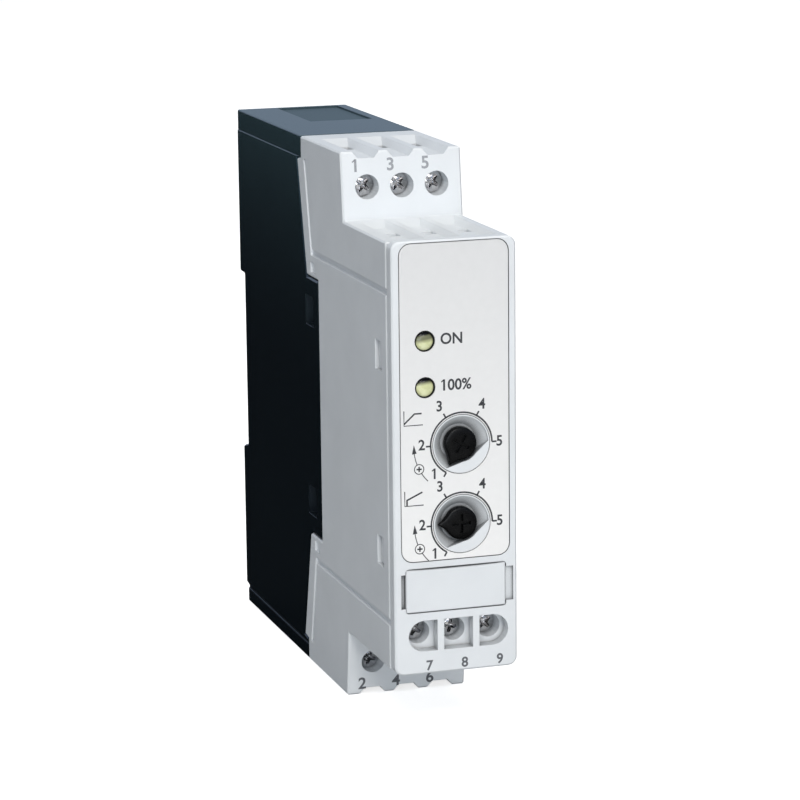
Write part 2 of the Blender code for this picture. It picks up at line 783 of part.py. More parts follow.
def plate_outline(play):
    half = PLATE_WIDTH / 2 + play
    return rounded((-half, PLATE_LOW - play), (half, PLATE_HIGH + play), PLATE_CORNER + play, 2)


def flank_at(radius, play):
    """How far round from the pointer its flank, moved out by a play, crosses a radius, in degrees."""
    start = Vector((KNOB * math.cos(math.radians(KNOB_FLANK)), KNOB * math.sin(math.radians(KNOB_FLANK))))
    along = (Vector((KNOB_TIP, 0.0)) - start).normalized()
    start += Vector((-along.y, along.x)) * play * (1.0 if along.x > 0.0 else -1.0)
    reach = -start.dot(along) + math.sqrt(start.dot(along) ** 2 - start.length_squared + radius ** 2)
    crossing = start + along * reach
    return math.degrees(math.atan2(crossing.y, crossing.x))


def dish_outline(centre):
    """The sector that the pointer sweeps, closed by walls along its flanks at both stops."""
    bore = KNOB + KNOB_PLAY
    near, far = flank_at(bore, KNOB_PLAY), flank_at(DISH, KNOB_PLAY)
    outer = arc(centre, DISH, DIAL_FIRST + far, DIAL_LAST - far, 28)
    inner = arc(centre, bore, DIAL_LAST - near, DIAL_FIRST + near - 360.0, 5)
    return outer + inner


def dish_bowl(name, centre):
    """The turned floor of a dial: a short wall, a cone and a flat round the shaft."""
    profile = [
        (0.0, y(-REACH)),
        (DISH + REACH, y(-REACH)),
        (DISH + REACH, y(DISH_RIM)),
        (DISH, y(DISH_RIM)),
        (KNOB + KNOB_PLAY, y(DISH_FLOOR)),
        (0.0, y(DISH_FLOOR)),
    ]
    bowl = turned(name, profile, 2 * ROUND)
    bowl.location = (centre[0], 0.0, centre[1])
    return bowl


def dial_cuts():
    tools = []
    for name, dial_level in DIAL_LEVELS.items():
        centre = (DIAL_X, dial_level)
        dish = prism(f"{name}_dish", dish_outline(centre), "Y", y(-2 * REACH), y(DISH_FLOOR + REACH))
        combine(dish, "INTERSECT", [dish_bowl(f"{name}_bowl", centre)])
        tools.append(dish)
        tools.append(rod(
            f"{name}_shaft_hole", *centre, SHAFT + GAP, (y(LABEL_SET_BACK + REACH), y(BOSS_BACK + REACH))))
    return tools


def cover_legs():
    """Legs with snaps that reach the windows of the front housing, and posts for the board."""
    tools = []
    outer = WIDTH / 2 - SIDE_WALL - GAP
    tail = COVER_SNAP_FRONT + COVER_SNAP_LENGTH + LEG_TAIL
    for side in SIDES:
        for end in ENDS:
            middle = HEIGHT / 2 + end * COVER_SNAP_RISE
            half = COVER_SNAP_HEIGHT / 2 + LEG_MARGIN
            tools.append(box(
                f"leg_{side}_{end}", sorted((side * outer, side * (outer - LEG_THICKNESS))),
                (y(COVER_PLATE - GAP), y(tail)), (middle - half, middle + half)))
            half = COVER_SNAP_HEIGHT / 2 - GAP
            barb = [
                (side * (outer - SNAP_DROP), y(COVER_SNAP_FRONT + GAP)),
                (side * (WIDTH / 2 - COVER_SNAP_DROP), y(COVER_SNAP_FRONT + GAP)),
                (side * (WIDTH / 2 - COVER_SNAP_DROP), y(COVER_SNAP_FRONT + 0.75 * COVER_SNAP_LENGTH)),
                (side * (outer + SNAP_DROP), y(COVER_SNAP_FRONT + COVER_SNAP_LENGTH - GAP)),
                (side * (outer - SNAP_DROP), y(COVER_SNAP_FRONT + COVER_SNAP_LENGTH - GAP)),
            ]
            tools.append(prism(f"barb_{side}_{end}", barb, "Z", middle - half, middle + half))
        under_trimmer = DIAL_LEVELS["initial_voltage"] - TRIMMER / 2 - 2 * POST
        for z in (under_trimmer, CONTROL_BOARD_HIGH - 2 * POST):
            x = side * (CONTROL_BOARD_WIDTH / 2 - 2 * POST)
            tools.append(rod(
                f"post_{side}_{round(z / MM)}", x, z, POST, (y(COVER_PLATE - GAP), y(CONTROL_BOARD - GAP)), 12))
    return tools


def build_cover(finishes):
    half = WIDTH / 2
    outline = rounded((-half, NOSE_INSET), (half, level(TOP, NOSE_INSET)), COVER_CORNER, 5)
    cover = prism("front_cover", outline, "Y", y(0.0), y(COVER_DEPTH))
    soften(cover)
    label_floor = LABEL_SET_BACK + LABEL_THICKNESS + GAP
    plate_floor = PLATE_SET_BACK + PLATE_THICKNESS + GAP
    rim = COVER_RIM
    inside = rounded(
        (-half + rim, NOSE_INSET + rim), (half - rim, level(TOP, NOSE_INSET + rim)), COVER_CORNER, 5)
    slot = PLATE_WIDTH / 2 + PLATE_PLAY
    middle = (PLATE_LOW + PLATE_HIGH) / 2
    pry = (middle - PRY_HEIGHT / 2, middle + PRY_HEIGHT / 2)
    tools = [
        prism("cover_inside", inside, "Y", y(COVER_PLATE), y(COVER_DEPTH + REACH)),
        prism("label_recess", label_outline(LABEL_PLAY), "Y", y(-REACH), y(label_floor)),
        prism("plate_recess", plate_outline(PLATE_PLAY), "Y", y(-REACH), y(plate_floor)),
        box("pry_slot", (-slot - PRY_SLOT, -slot + GAP), (y(-REACH), y(plate_floor - GAP)), pry),
        box("finger_recess", (slot - GAP, slot + FINGER_WIDTH), (y(-REACH), y(FINGER_DEPTH)), pry),
    ]
    for place, span in zip(PLACES, window_spans()):
        outline = window_outline(place, span)
        tools.append(prism(f"window_{place}", outline, "Y", y(-REACH), y(COVER_PLATE + REACH)))
    cut(cover, tools)
    bosses = [
        rod(f"{name}_boss", DIAL_X, z, BOSS, (y(LABEL_SET_BACK), y(BOSS_BACK)), 2 * ROUND)
        for name, z in DIAL_LEVELS.items()
    ]
    join(cover, bosses + cover_legs())
    holes = [
        rod(f"{name}_lamp_hole", LAMP_X, z, LAMP_HOLE, (y(-REACH), y(COVER_PLATE + REACH)))
        for name, z in LAMP_LEVELS.items()
    ]
    cut(cover, dial_cuts() + holes)
    return node(cover, finishes["pale_housing"])


def build_label(finishes):
    back = LABEL_SET_BACK + LABEL_THICKNESS
    label = prism("face_label", label_outline(0.0), "Y", y(LABEL_SET_BACK), y(back))
    holes = [
        rod(f"{name}_label_hole", DIAL_X, z, BOSS + BOSS_PLAY, (y(-REACH), y(back + REACH)), 2 * ROUND)
        for name, z in DIAL_LEVELS.items()
    ]
    holes += [
        rod(f"{name}_label_hole", LAMP_X, z, LAMP_HOLE, (y(-REACH), y(back + REACH)))
        for name, z in LAMP_LEVELS.items()
    ]
    cut(label, holes)
    return node(label, finishes["label_film"])


def build_marker_plate(finishes):
    """A blank snap-in plate, whose top edge is hollowed for a fingernail."""
    half = PLATE_WIDTH / 2
    dip = 2 * PLATE_PLAY
    top = [
        (half * math.cos(math.pi * i / 10), PLATE_HIGH - dip * math.sin(math.pi * i / 10))
        for i in range(11)
    ]
    outline = [(-half, PLATE_LOW), (half, PLATE_LOW)] + top
    plate = prism(
        "marker_plate", outline, "Y", y(PLATE_SET_BACK), y(PLATE_SET_BACK + PLATE_THICKNESS))
    soften(plate, EDGE / 2)
    return node(plate, finishes["pale_housing"])


# Knobs, trimmers and lamps

def teardrop(angle):
    """The knob's outline about its axis: a circle drawn out to a pointer."""
    blunt = KNOB_TIP - KNOB_PLAY
    points = arc((0.0, 0.0), KNOB, angle + KNOB_FLANK, angle + 360.0 - KNOB_FLANK, 22)
    tip = math.radians(angle)
    across = KNOB_PLAY / 2
    for side in (-1, 1):
        points.append((
            blunt * math.cos(tip) - side * across * math.sin(tip),
            blunt * math.sin(tip) + side * across * math.cos(tip),
        ))
    return points


def build_knob(name, dial_level, finishes):
    """A knob with a pointer and a cross slot, on its shaft. Its origin is on its axis."""
    outline = teardrop(DIAL_REST[name])

    def under(a, b):
        reach = (math.hypot(a, b) - KNOB) / (KNOB_TIP - KNOB)
        return KNOB_UNDER + (KNOB_TIP_UNDER - KNOB_UNDER) * max(0.0, reach)

    shrink = 1.0 - EDGE / KNOB
    rings = [
        [(a * shrink, KNOB_SET_BACK, b * shrink) for a, b in outline],
        [(a, KNOB_SET_BACK + EDGE, b) for a, b in outline],
        [(a, under(a, b), b) for a, b in outline],
    ]
    knob = lofted(f"{name}_knob_blank", rings)
    shaft = turned(f"{name}_shaft", [
        (0.0, KNOB_UNDER - GAP),
        (SHAFT, KNOB_UNDER - GAP),
        (SHAFT, SHAFT_END - GAP),
        (SHAFT - GAP, SHAFT_END),
        (0.0, SHAFT_END),
    ], SMALL_ROUND)
    join(knob, [shaft])
    half = KNOB_CROSS / 2
    slim = KNOB_CROSS_WIDTH / 2
    depth = (KNOB_SET_BACK - REACH, KNOB_SET_BACK + KNOB_CROSS_DEPTH)
    turn = Matrix.Rotation(-math.radians(DIAL_REST[name]), 4, "Y")
    slots = [
        box(f"{name}_slot_a", (-half, half), depth, (-slim, slim)),
        box(f"{name}_slot_b", (-slim, slim), depth, (-half, half)),
    ]
    for slot in slots:
        slot.data.transform(turn)
    cut(knob, slots)
    mesh = finished_mesh(knob)
    knob = as_object(f"{name}_knob", mesh)
    return node(knob, finishes["black_knob"], f"{name}_knob", (DIAL_X, y(0.0), dial_level))


def build_trimmer(name, dial_level, finishes):
    """The trimmer behind a knob, on the control board."""
    half = TRIMMER / 2
    front = BOSS_BACK + GAP
    trimmer = box(
        f"{name}_trimmer", (DIAL_X - half, DIAL_X + half), (y(front), y(CONTROL_BOARD - GAP)),
        (dial_level - half, dial_level + half))
    soften(trimmer)
    cut(trimmer, [rod(
        f"{name}_trimmer_bore", DIAL_X, dial_level, SHAFT + GAP, (y(front - REACH), y(SHAFT_END + GAP)),
        SMALL_ROUND)])
    return node(trimmer, finishes["trimmer_grey"])


def build_lamp(name, lamp_level, finishes):
    """A domed lamp on its leads, in a black holder that stands on the control board."""
    dome = [
        (LAMP * math.cos(a), LAMP_SET_BACK + LAMP_DOME * (1.0 - math.sin(a)))
        for a in (math.radians(angle) for angle in (65.0, 40.0, 20.0, 0.0))
    ]
    profile = [(0.0, LAMP_SET_BACK)] + dome + [
        (LAMP, LAMP_BODY),
        (LEADS, LAMP_BODY),
        (LEADS, CONTROL_BOARD - GAP),
        (0.0, CONTROL_BOARD - GAP),
    ]
    lamp = turned(f"{name}_lamp", profile, SMALL_ROUND)
    node(lamp, finishes["lamp_lens"], place=(LAMP_X, y(0.0), lamp_level))
    holder = rod(
        f"{name}_lamp_holder", LAMP_X, lamp_level, HOLDER, (y(HOLDER_SET_BACK), y(CONTROL_BOARD - GAP)))
    cut(holder, [rod(
        f"{name}_holder_bore", LAMP_X, lamp_level, HOLDER_BORE,
        (y(HOLDER_SET_BACK - REACH), y(CONTROL_BOARD + REACH)))])
    return node(holder, finishes["black_plastic"])


# Screws, clamps and bars

def screw_mesh(name, head, rim, dome, shank, length):
    """A screw with a domed head and a cross recess, its origin under the head."""
    top = rim + dome
    bow = [
        (head * math.cos(a), -rim - dome * math.sin(a))
        for a in (math.radians(angle) for angle in (60.0, 30.0, 0.0))
    ]
    screw = turned(f"{name}_blank", [(0.0, -top)] + bow + [
        (head, 0.0),
        (shank, 0.0),
        (shank, length - GAP),
        (shank - GAP, length),
        (0.0, length),
    ], SMALL_ROUND)
    long_arm, slim = 0.62 * head, 0.16 * head
    cross = [
        (long_arm, -slim), (long_arm, slim), (slim, slim), (slim, long_arm),
        (-slim, long_arm), (-slim, slim), (-long_arm, slim), (-long_arm, -slim),
        (-slim, -slim), (-slim, -long_arm), (slim, -long_arm), (slim, -slim),
    ]
    mouth, foot = 1.5, 0.5
    cutter = lofted(f"{name}_cross", [
        [(a * mouth, -top - dome, b * mouth) for a, b in cross],
        [(a * foot, -rim, b * foot) for a, b in cross],
    ])
    cut(screw, [cutter])
    return finished_mesh(screw)


def clamp_mesh(name, travel, sheet, shank, length, height):
    """A rising clamp: a square loop of sheet whose front wall the screw pulls forward."""
    half = CHAMBER_WIDTH / 2 - GAP
    clamp = box(f"{name}_blank", (-half, half), (0.0, length), (-height / 2, height / 2))
    inner = half - sheet
    cut(clamp, [
        box(f"{name}_inside", (-inner, inner), (sheet, length - sheet), (-height, height)),
        rod(f"{name}_thread", 0.0, 0.0, shank + THREAD_PLAY, (-REACH, sheet + REACH), SMALL_ROUND),
    ])
    return finished_mesh(clamp)


def build_power_terminals(finishes):
    under_head = POWER_SEAT - GAP
    tip = POWER_BAR - GAP
    screw = screw_mesh(
        "power_screw", POWER_HEAD, POWER_HEAD_RIM, POWER_HEAD_DOME, POWER_SHANK, tip - under_head)
    clamp_front = POWER_SEAT + SEAT_WALL + GAP + POWER_TRAVEL
    clamp_back = POWER_BAR + POWER_BAR_THICKNESS + POWER_WIRE + POWER_SHEET
    clamp = clamp_mesh(
        "power_clamp", POWER_TRAVEL, POWER_SHEET, POWER_SHANK, clamp_back - clamp_front, CLAMP_HEIGHT)
    for end, row in ((TOP, "line"), (BOTTOM, "load")):
        z = level(end, POWER_INSET)
        for place in PLACES:
            number = place + 2
            x = terminal_x(place)
            node(
                as_object(f"{row}_screw_{number}", screw), finishes["screw_zinc"],
                place=(x, y(under_head), z))
            node(
                as_object(f"{row}_clamp_{number}", clamp), finishes["clamp_steel"],
                place=(x, y(clamp_front), z))
            build_power_bar(f"{row}_busbar_{number}", end, place, finishes)


def build_power_bar(name, end, place, finishes):
    """A stamped bar from the clamp to the power board, its foot one step lower for each place."""
    x = terminal_x(place)
    half = BAR_WIDTH / 2
    tip = level(end, POWER_INSET - CLAMP_HEIGHT / 2 + 2 * GAP)
    board_face = POWER_BOARD_X + BOARD + GAP
    if place == PLACES[0]:
        foot = level(end, POWER_BOARD_INSET - GAP)
        outline = [(x - half, foot), (x + half, foot), (x + half, tip), (x - half, tip)]
    else:
        foot = level(end, POWER_BOARD_INSET + FOOT_STEP * (place + 1))
        heel = foot + end * FOOT_HEIGHT
        outline = [
            (board_face, foot), (x + half, foot), (x + half, tip),
            (x - half, tip), (x - half, heel), (board_face, heel),
        ]
    bar = prism(name, outline, "Y", y(POWER_BAR), y(POWER_BAR + POWER_BAR_THICKNESS))
    return node(bar, finishes["tinned_copper"])


def build_control_terminals(finishes):
    under_head = CONTROL_SEAT - GAP
    tip = CONTROL_BAR - GAP
    screw = screw_mesh(
        "control_screw", CONTROL_HEAD, CONTROL_HEAD_RIM, CONTROL_HEAD_DOME, CONTROL_SHANK,
        tip - under_head)
    clamp_front = CONTROL_SEAT + SEAT_WALL + 2 * GAP + CONTROL_TRAVEL
    bar_back = CONTROL_BAR + CONTROL_BAR_THICKNESS
    clamp_back = bar_back + CONTROL_WIRE + CONTROL_SHEET
    clamp = clamp_mesh(
        "control_clamp", CONTROL_TRAVEL, CONTROL_SHEET, CONTROL_SHANK, clamp_back - clamp_front,
        CLAMP_HEIGHT)
    board_back = CONTROL_BOARD + BOARD + GAP
    foot = CONTROL_BOARD_LOW + GAP
    bend = foot + CONTROL_BAR_THICKNESS
    for place in PLACES:
        number = place + 2
        x = terminal_x(place, CONTROL_SHIFT)
        node(
            as_object(f"control_screw_{number}", screw), finishes["screw_zinc"],
            place=(x, y(under_head), CONTROL_LEVEL))
        node(
            as_object(f"control_clamp_{number}", clamp), finishes["clamp_steel"],
            place=(x, y(clamp_front), CONTROL_LEVEL))
        outline = [
            (y(CONTROL_BAR), CONTROL_LEVEL - CLAMP_HEIGHT / 2 + GAP),
            (y(bar_back), CONTROL_LEVEL - CLAMP_HEIGHT / 2 + GAP),
            (y(bar_back), bend),
            (y(board_back), bend),
            (y(board_back), foot),
            (y(CONTROL_BAR), foot),
        ]
        half = BAR_WIDTH / 2
        bar = prism(f"control_busbar_{number}", outline, "X", x - half, x + half)
        node(bar, finishes["tinned_copper"])


# Boards and power parts

def build_boards(finishes):
    half = CONTROL_BOARD_WIDTH / 2
    control = box(
        "control_board", (-half, half), (y(CONTROL_BOARD), y(CONTROL_BOARD + BOARD)),
        (CONTROL_BOARD_LOW, CONTROL_BOARD_HIGH))
    node(control, finishes["board_green"])
    front = CONTROL_BOARD + BOARD + GAP
    back = REAR_BACK - GAP
    outline = [
        (y(front), POWER_BOARD_STEP_LEVEL),
        (y(POWER_BOARD_STEP), POWER_BOARD_STEP_LEVEL),
        (y(POWER_BOARD_STEP), level(BOTTOM, POWER_BOARD_INSET)),
        (y(back), level(BOTTOM, POWER_BOARD_INSET)),
        (y(back), level(TOP, POWER_BOARD_INSET)),
        (y(front), level(TOP, POWER_BOARD_INSET)),
    ]
    power = prism("power_board", outline, "X", POWER_BOARD_X, POWER_BOARD_X + BOARD)
    node(power, finishes["board_green"])


def build_power_parts(finishes):
    face = POWER_BOARD_X + BOARD + GAP
    wall = rear_inner() - GAP
    sink = box(
        "heat_sink", (wall - HEAT_SINK, wall), (y(HEAT_SINK_FRONT), y(HEAT_SINK_BACK)),
        (level(BOTTOM, HEAT_SINK_INSET), level(TOP, HEAT_SINK_INSET)))
    node(sink, finishes["aluminium"])
    depth, low = MODULE_PLACE
    module = box(
        "thyristor_module", (face, wall - HEAT_SINK - GAP), (y(depth), y(depth + MODULE_SIZE[0])),
        (low, low + MODULE_SIZE[1]))
    node(soften(module, 2 * EDGE), finishes["black_plastic"])
    depth, low = RELAY_PLACE
    relay = box(
        "bypass_relay", (face, face + RELAY_SIZE[0]), (y(depth), y(depth + RELAY_SIZE[1])),
        (low, low + RELAY_SIZE[2]))
    node(soften(relay), finishes["relay_blue"])
    front = CONTROL_BOARD + BOARD + GAP
    connector = box(
        "board_connector", (face, face + CONNECTOR_SIZE[0]), (y(front), y(front + CONNECTOR_SIZE[1])),
        (CONNECTOR_LEVEL, CONNECTOR_LEVEL + CONNECTOR_SIZE[2]))
    node(connector, finishes["black_plastic"])
    depth, z = CAPACITOR_PLACE
    can = circle((y(depth), z), CAPACITOR, SMALL_ROUND)
    capacitor = prism("smoothing_capacitor", can, "X", face, face + CAPACITOR_HEIGHT)
    node(soften(capacitor), finishes["aluminium"])
    depth, z = VARISTOR_PLACE
    varistor = rod(
        "varistor", face + VARISTOR, z, VARISTOR, (y(depth), y(depth + VARISTOR_THICKNESS)), SMALL_ROUND)
    node(soften(varistor, 2 * EDGE), finishes["varistor_blue"])


# Rear housing

def rear_inner():
    """Half the width inside the rear housing."""
    return WIDTH / 2 - WING_WALL - GAP - REAR_WALL


def rail_opening():
    """The inset of each edge of the rail's recess."""
    return (HEIGHT - RAIL - RAIL_PLAY) / 2


def latch_nose():
    """The level to which the latch's grip reaches up over the rail's lower edge."""
    return rail_opening() + RAIL_PLAY / 2 + LATCH_GRIP


def rear_outline():
    """The full-width outline: the seam at the front, the rail's recess and the base lip at the back."""
    opening = rail_opening()
    front = [
        (SEAM_MIDDLE + GAP, WING_INSET + GAP),
        (WING_ROOT + GAP, WING_INSET + GAP),
        (WING_TIP + GAP, CAP + EDGE),
        (SEAM_END + GAP, CAP),
        (SEAM_END + GAP, 0.0),
    ]
    lower = [(y(depth), inset) for depth, inset in front]
    upper = [(y(depth), level(TOP, inset)) for depth, inset in reversed(front)]
    base = [
        (y(DEPTH - BASE_SET_BACK), 0.0),
        (y(DEPTH - BASE_SET_BACK), BASE_LIP - BASE_GROOVE),
        (y(DEPTH - 2 * BASE_SET_BACK), BASE_LIP),
        (y(DEPTH), BASE_LIP + BASE_GROOVE / 2),
        (y(DEPTH), opening),
        (y(RAIL_FLOOR), opening + RAIL_LEAD),
        (y(RAIL_FLOOR), level(TOP, opening) - GAP),
        (y(RAIL_FLOOR + GAP), level(TOP, opening)),
        (y(DEPTH), level(TOP, opening)),
        (y(DEPTH), HEIGHT),
    ]
    return lower + base + upper


def rear_sleeve():
    """The narrower front part, which the wings and the end walls of the front housing cover."""
    half = WIDTH / 2 - WING_WALL - GAP
    outline = both_ends([
        (SEAM_MIDDLE + 2 * GAP, block_inset() + GAP),
        (block_end() + GAP, block_inset() + GAP),
        (block_end() + GAP, END_WALL + GAP),
        (WING_TIP + 3 * REACH, END_WALL + GAP),
    ])
    return prism("rear_sleeve", outline, "X", -half, half)


def rear_cuts():
    inner = rear_inner()
    end_inset = END_WALL + GAP + REAR_END_WALL
    tools = [
        box(
            "rear_cavity", (-inner, inner), (y(SEAM_MIDDLE - REACH), y(REAR_BACK)),
            (level(BOTTOM, end_inset), level(TOP, end_inset))),
        box(
            "top_pocket", (POCKET_LEFT, POCKET_RIGHT), (y(POCKET_FRONT), y(POCKET_BACK)),
            (HEIGHT - POCKET_DEPTH, HEIGHT + REACH)),
    ]
    for side in SIDES:
        def outward(drop):
            return sorted((side * (WIDTH / 2 - drop), side * (WIDTH / 2 + REACH)))
        tools.append(box(
            f"top_cap_{side}", outward(CAP_INSET), (y(SEAM_END - REACH), y(DEPTH + REACH)),
            (HEIGHT - CAP, HEIGHT + REACH)))
        tools.append(box(
            f"base_cap_{side}", outward(CAP_INSET), (y(SEAM_END - REACH), y(DEPTH + REACH)),
            (-REACH, BASE_LIP - BASE_GROOVE)))
        tools.append(box(
            f"base_groove_{side}", outward(2 * CAP_INSET), (y(SEAM_END - REACH), y(DEPTH + REACH)),
            (BASE_LIP - BASE_GROOVE, BASE_LIP)))
        for end in ENDS:
            middle = HEIGHT / 2 + end * BODY_SNAP_RISE
            tools.append(box(
                f"body_window_{side}_{end}", sorted((side * (inner - REACH), side * (WIDTH / 2 + REACH))),
                (y(BODY_SNAP_FRONT), y(BODY_SNAP_FRONT + BODY_SNAP_LENGTH)),
                (middle - BODY_SNAP_HEIGHT / 2, middle + BODY_SNAP_HEIGHT / 2)))
    rail_top = level(TOP, rail_opening())
    for side in SIDES:
        tools.append(box(
            f"hook_relief_{side}", sorted((side * (HOOK_INNER - GAP), side * (HOOK_OUTER + GAP))),
            (y(RAIL_FLOOR - GAP), y(RAIL_FLOOR + REACH)),
            (rail_top - HOOK_DROP - GAP, rail_top - GAP / 2)))
    flange = LATCH_FLANGE / 2 + GAP
    slider = LATCH_WIDTH / 2 + GAP
    lip_front = TRACK_FLOOR + GAP + LATCH_FLANGE_THICKNESS + GAP
    tools.append(box(
        "latch_track", (-flange, flange), (y(TRACK_FLOOR), y(lip_front)), (-REACH, LATCH_CEILING)))
    tools.append(box(
        "latch_mouth", (-slider, slider), (y(lip_front - GAP), y(DEPTH + REACH)),
        (-REACH, rail_opening() + RAIL_LEAD + REACH)))
    tools.append(box(
        "latch_relief", (GAP / 2 - slider, slider - GAP / 2), (y(RAIL_FLOOR - GAP), y(lip_front)),
        (rail_opening(), latch_nose() + GAP)))
    return tools


def rear_additions():
    """Fixed hooks over the rail's upper edge, and the post that the latch spring stands on."""
    top = level(TOP, rail_opening())
    back = y(RAIL_FLOOR + RAIL_EDGE)
    profile = [
        (back, top - HOOK_DROP),
        (y(DEPTH - HOOK_DROP / 2), top - HOOK_DROP),
        (y(DEPTH - GAP), top - HOOK_DROP / 2),
        (y(DEPTH - GAP), top + REACH),
        (back, top + REACH),
    ]
    tools = []
    for side in SIDES:
        tools.append(prism(
            f"rail_hook_{side}", profile, "X", *sorted((side * HOOK_INNER, side * HOOK_OUTER))))
    half = SPRING_POST / 2
    tools.append(box(
        "spring_post", (-half, half), (y(TRACK_FLOOR - REACH), y(LATCH_BACK - 2 * GAP)),
        (SPRING_POST_LOW, SPRING_POST_LOW + SPRING_POST_HEIGHT)))
    return tools


def build_rear_housing(finishes):
    body = prism("rear_housing", rear_outline(), "X", -WIDTH / 2, WIDTH / 2)
    soften(body)
    join(body, [rear_sleeve()])
    cut(body, rear_cuts())
    join(body, rear_additions())
    return node(body, finishes["dark_housing"])


# Latch and its spring

def build_latch(finishes):
    """A slider held in its track by side flanges, with a nose under the rail's lower edge."""
    flange = LATCH_FLANGE / 2
    half = LATCH_WIDTH / 2
    front = TRACK_FLOOR + GAP
    top = LATCH_CEILING - GAP
    nose = latch_nose()
    latch = box("latch_blank", (-flange, flange), (front, front + LATCH_FLANGE_THICKNESS), (LATCH_END, top))
    profile = [
        (front + LATCH_FLANGE_THICKNESS / 2, LATCH_END),
        (LATCH_BACK, LATCH_END),
        (LATCH_BACK, nose - LATCH_GRIP),
        (LATCH_BACK - RAIL_EDGE, nose),
        (RAIL_FLOOR + RAIL_EDGE, nose),
        (RAIL_FLOOR + RAIL_EDGE, top - GAP),
        (front + LATCH_FLANGE_THICKNESS / 2, top - GAP),
    ]
    join(latch, [prism("latch_slider", profile, "X", -half, half)])
    window = SPRING_WINDOW / 2
    slot = TOOL_SLOT / 2
    through = (front - REACH, LATCH_BACK + REACH)
    cut(latch, [
        box("spring_window", (-window, window), through, (SPRING_WINDOW_LOW, SPRING_WINDOW_HIGH)),
        box("tool_slot", (-slot, slot), through, (TOOL_SLOT_LOW, TOOL_SLOT_LOW + TOOL_SLOT_HEIGHT)),
    ])
    mesh = finished_mesh(latch)
    return node(as_object("din_latch", mesh), finishes["dark_housing"], "din_latch", (0.0, y(0.0), 0.0))


def build_spring(finishes):
    """A coil spring between the post and the upper edge of the latch's window."""
    low = SPRING_POST_LOW + SPRING_POST_HEIGHT + GAP + SPRING_WIRE
    high = SPRING_WINDOW_HIGH - GAP - SPRING_WIRE
    depth = (TRACK_FLOOR + GAP + SPRING_WIRE + SPRING_RADIUS)
    steps = 9 * SPRING_TURNS
    curve = bpy.data.curves.new("latch_spring", "CURVE")
    curve.dimensions = "3D"
    curve.bevel_depth = SPRING_WIRE
    curve.bevel_resolution = 1
    curve.use_fill_caps = True
    spline = curve.splines.new("POLY")
    spline.points.add(steps)
    for i, point in enumerate(spline.points):
        turn = 2 * math.pi * SPRING_TURNS * i / steps
        point.co = (
            SPRING_RADIUS * math.cos(turn), y(depth) + SPRING_RADIUS * math.sin(turn),
            low + (high - low) * i / steps, 1.0)
    spring = bpy.data.objects.new("latch_spring", curve)
    bpy.context.scene.collection.objects.link(spring)
    spring.parent = bpy.data.objects["soft_starter"]
    curve.materials.append(finishes["spring_steel"])
    return spring


def clear_scene():
    for item in list(bpy.data.objects):
        bpy.data.objects.remove(item)


def main():
    clear_scene()
    root = bpy.data.objects.new("soft_starter", None)
    bpy.context.scene.collection.objects.link(root)
    finishes = make_finishes()
    build_front_housing(finishes)
    build_cover(finishes)
    build_label(finishes)
    build_marker_plate(finishes)
    for name, dial_level in DIAL_LEVELS.items():
        build_knob(name, dial_level, finishes)
        build_trimmer(name, dial_level, finishes)
    for name, lamp_level in LAMP_LEVELS.items():
        build_lamp(name, lamp_level, finishes)
    build_power_terminals(finishes)
    build_control_terminals(finishes)
    build_boards(finishes)
    build_power_parts(finishes)
    build_rear_housing(finishes)
    build_latch(finishes)
    build_spring(finishes)


main()
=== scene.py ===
"""Looks of a slim soft starter: finishes, print, screws, knobs and lamps round the fixed frame."""

from __future__ import annotations

import json
import logging
import math
from dataclasses import dataclass, field
from enum import Enum
from typing import Iterable, Sequence

import bmesh
import bpy
from mathutils import Matrix, Vector

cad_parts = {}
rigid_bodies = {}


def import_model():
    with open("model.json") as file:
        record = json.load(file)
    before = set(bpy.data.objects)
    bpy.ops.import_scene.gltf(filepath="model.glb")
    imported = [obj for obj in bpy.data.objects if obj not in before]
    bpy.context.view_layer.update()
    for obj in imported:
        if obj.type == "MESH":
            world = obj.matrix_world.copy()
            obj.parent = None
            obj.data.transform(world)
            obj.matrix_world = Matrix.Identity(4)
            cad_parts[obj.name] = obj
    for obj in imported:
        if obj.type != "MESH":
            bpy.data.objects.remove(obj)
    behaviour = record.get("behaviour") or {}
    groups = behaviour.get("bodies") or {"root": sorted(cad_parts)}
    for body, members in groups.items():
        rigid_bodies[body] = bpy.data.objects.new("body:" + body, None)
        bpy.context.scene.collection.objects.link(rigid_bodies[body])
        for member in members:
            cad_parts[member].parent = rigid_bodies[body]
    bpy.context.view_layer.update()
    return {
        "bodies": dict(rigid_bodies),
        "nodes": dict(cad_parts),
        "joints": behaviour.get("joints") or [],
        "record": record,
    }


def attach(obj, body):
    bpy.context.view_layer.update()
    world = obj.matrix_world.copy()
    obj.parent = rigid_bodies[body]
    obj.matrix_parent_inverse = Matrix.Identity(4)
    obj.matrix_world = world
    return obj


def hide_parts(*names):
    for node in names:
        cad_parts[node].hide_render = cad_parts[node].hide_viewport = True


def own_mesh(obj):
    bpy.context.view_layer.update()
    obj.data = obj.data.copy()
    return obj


LOG = logging.getLogger("soft_starter")
MM = 0.001
SHARP_ANGLE = math.radians(32.0)
FRONT = -50.2 * MM
HEIGHT = 100.0 * MM

Point = tuple[float, float]
Colour = tuple[float, float, float]


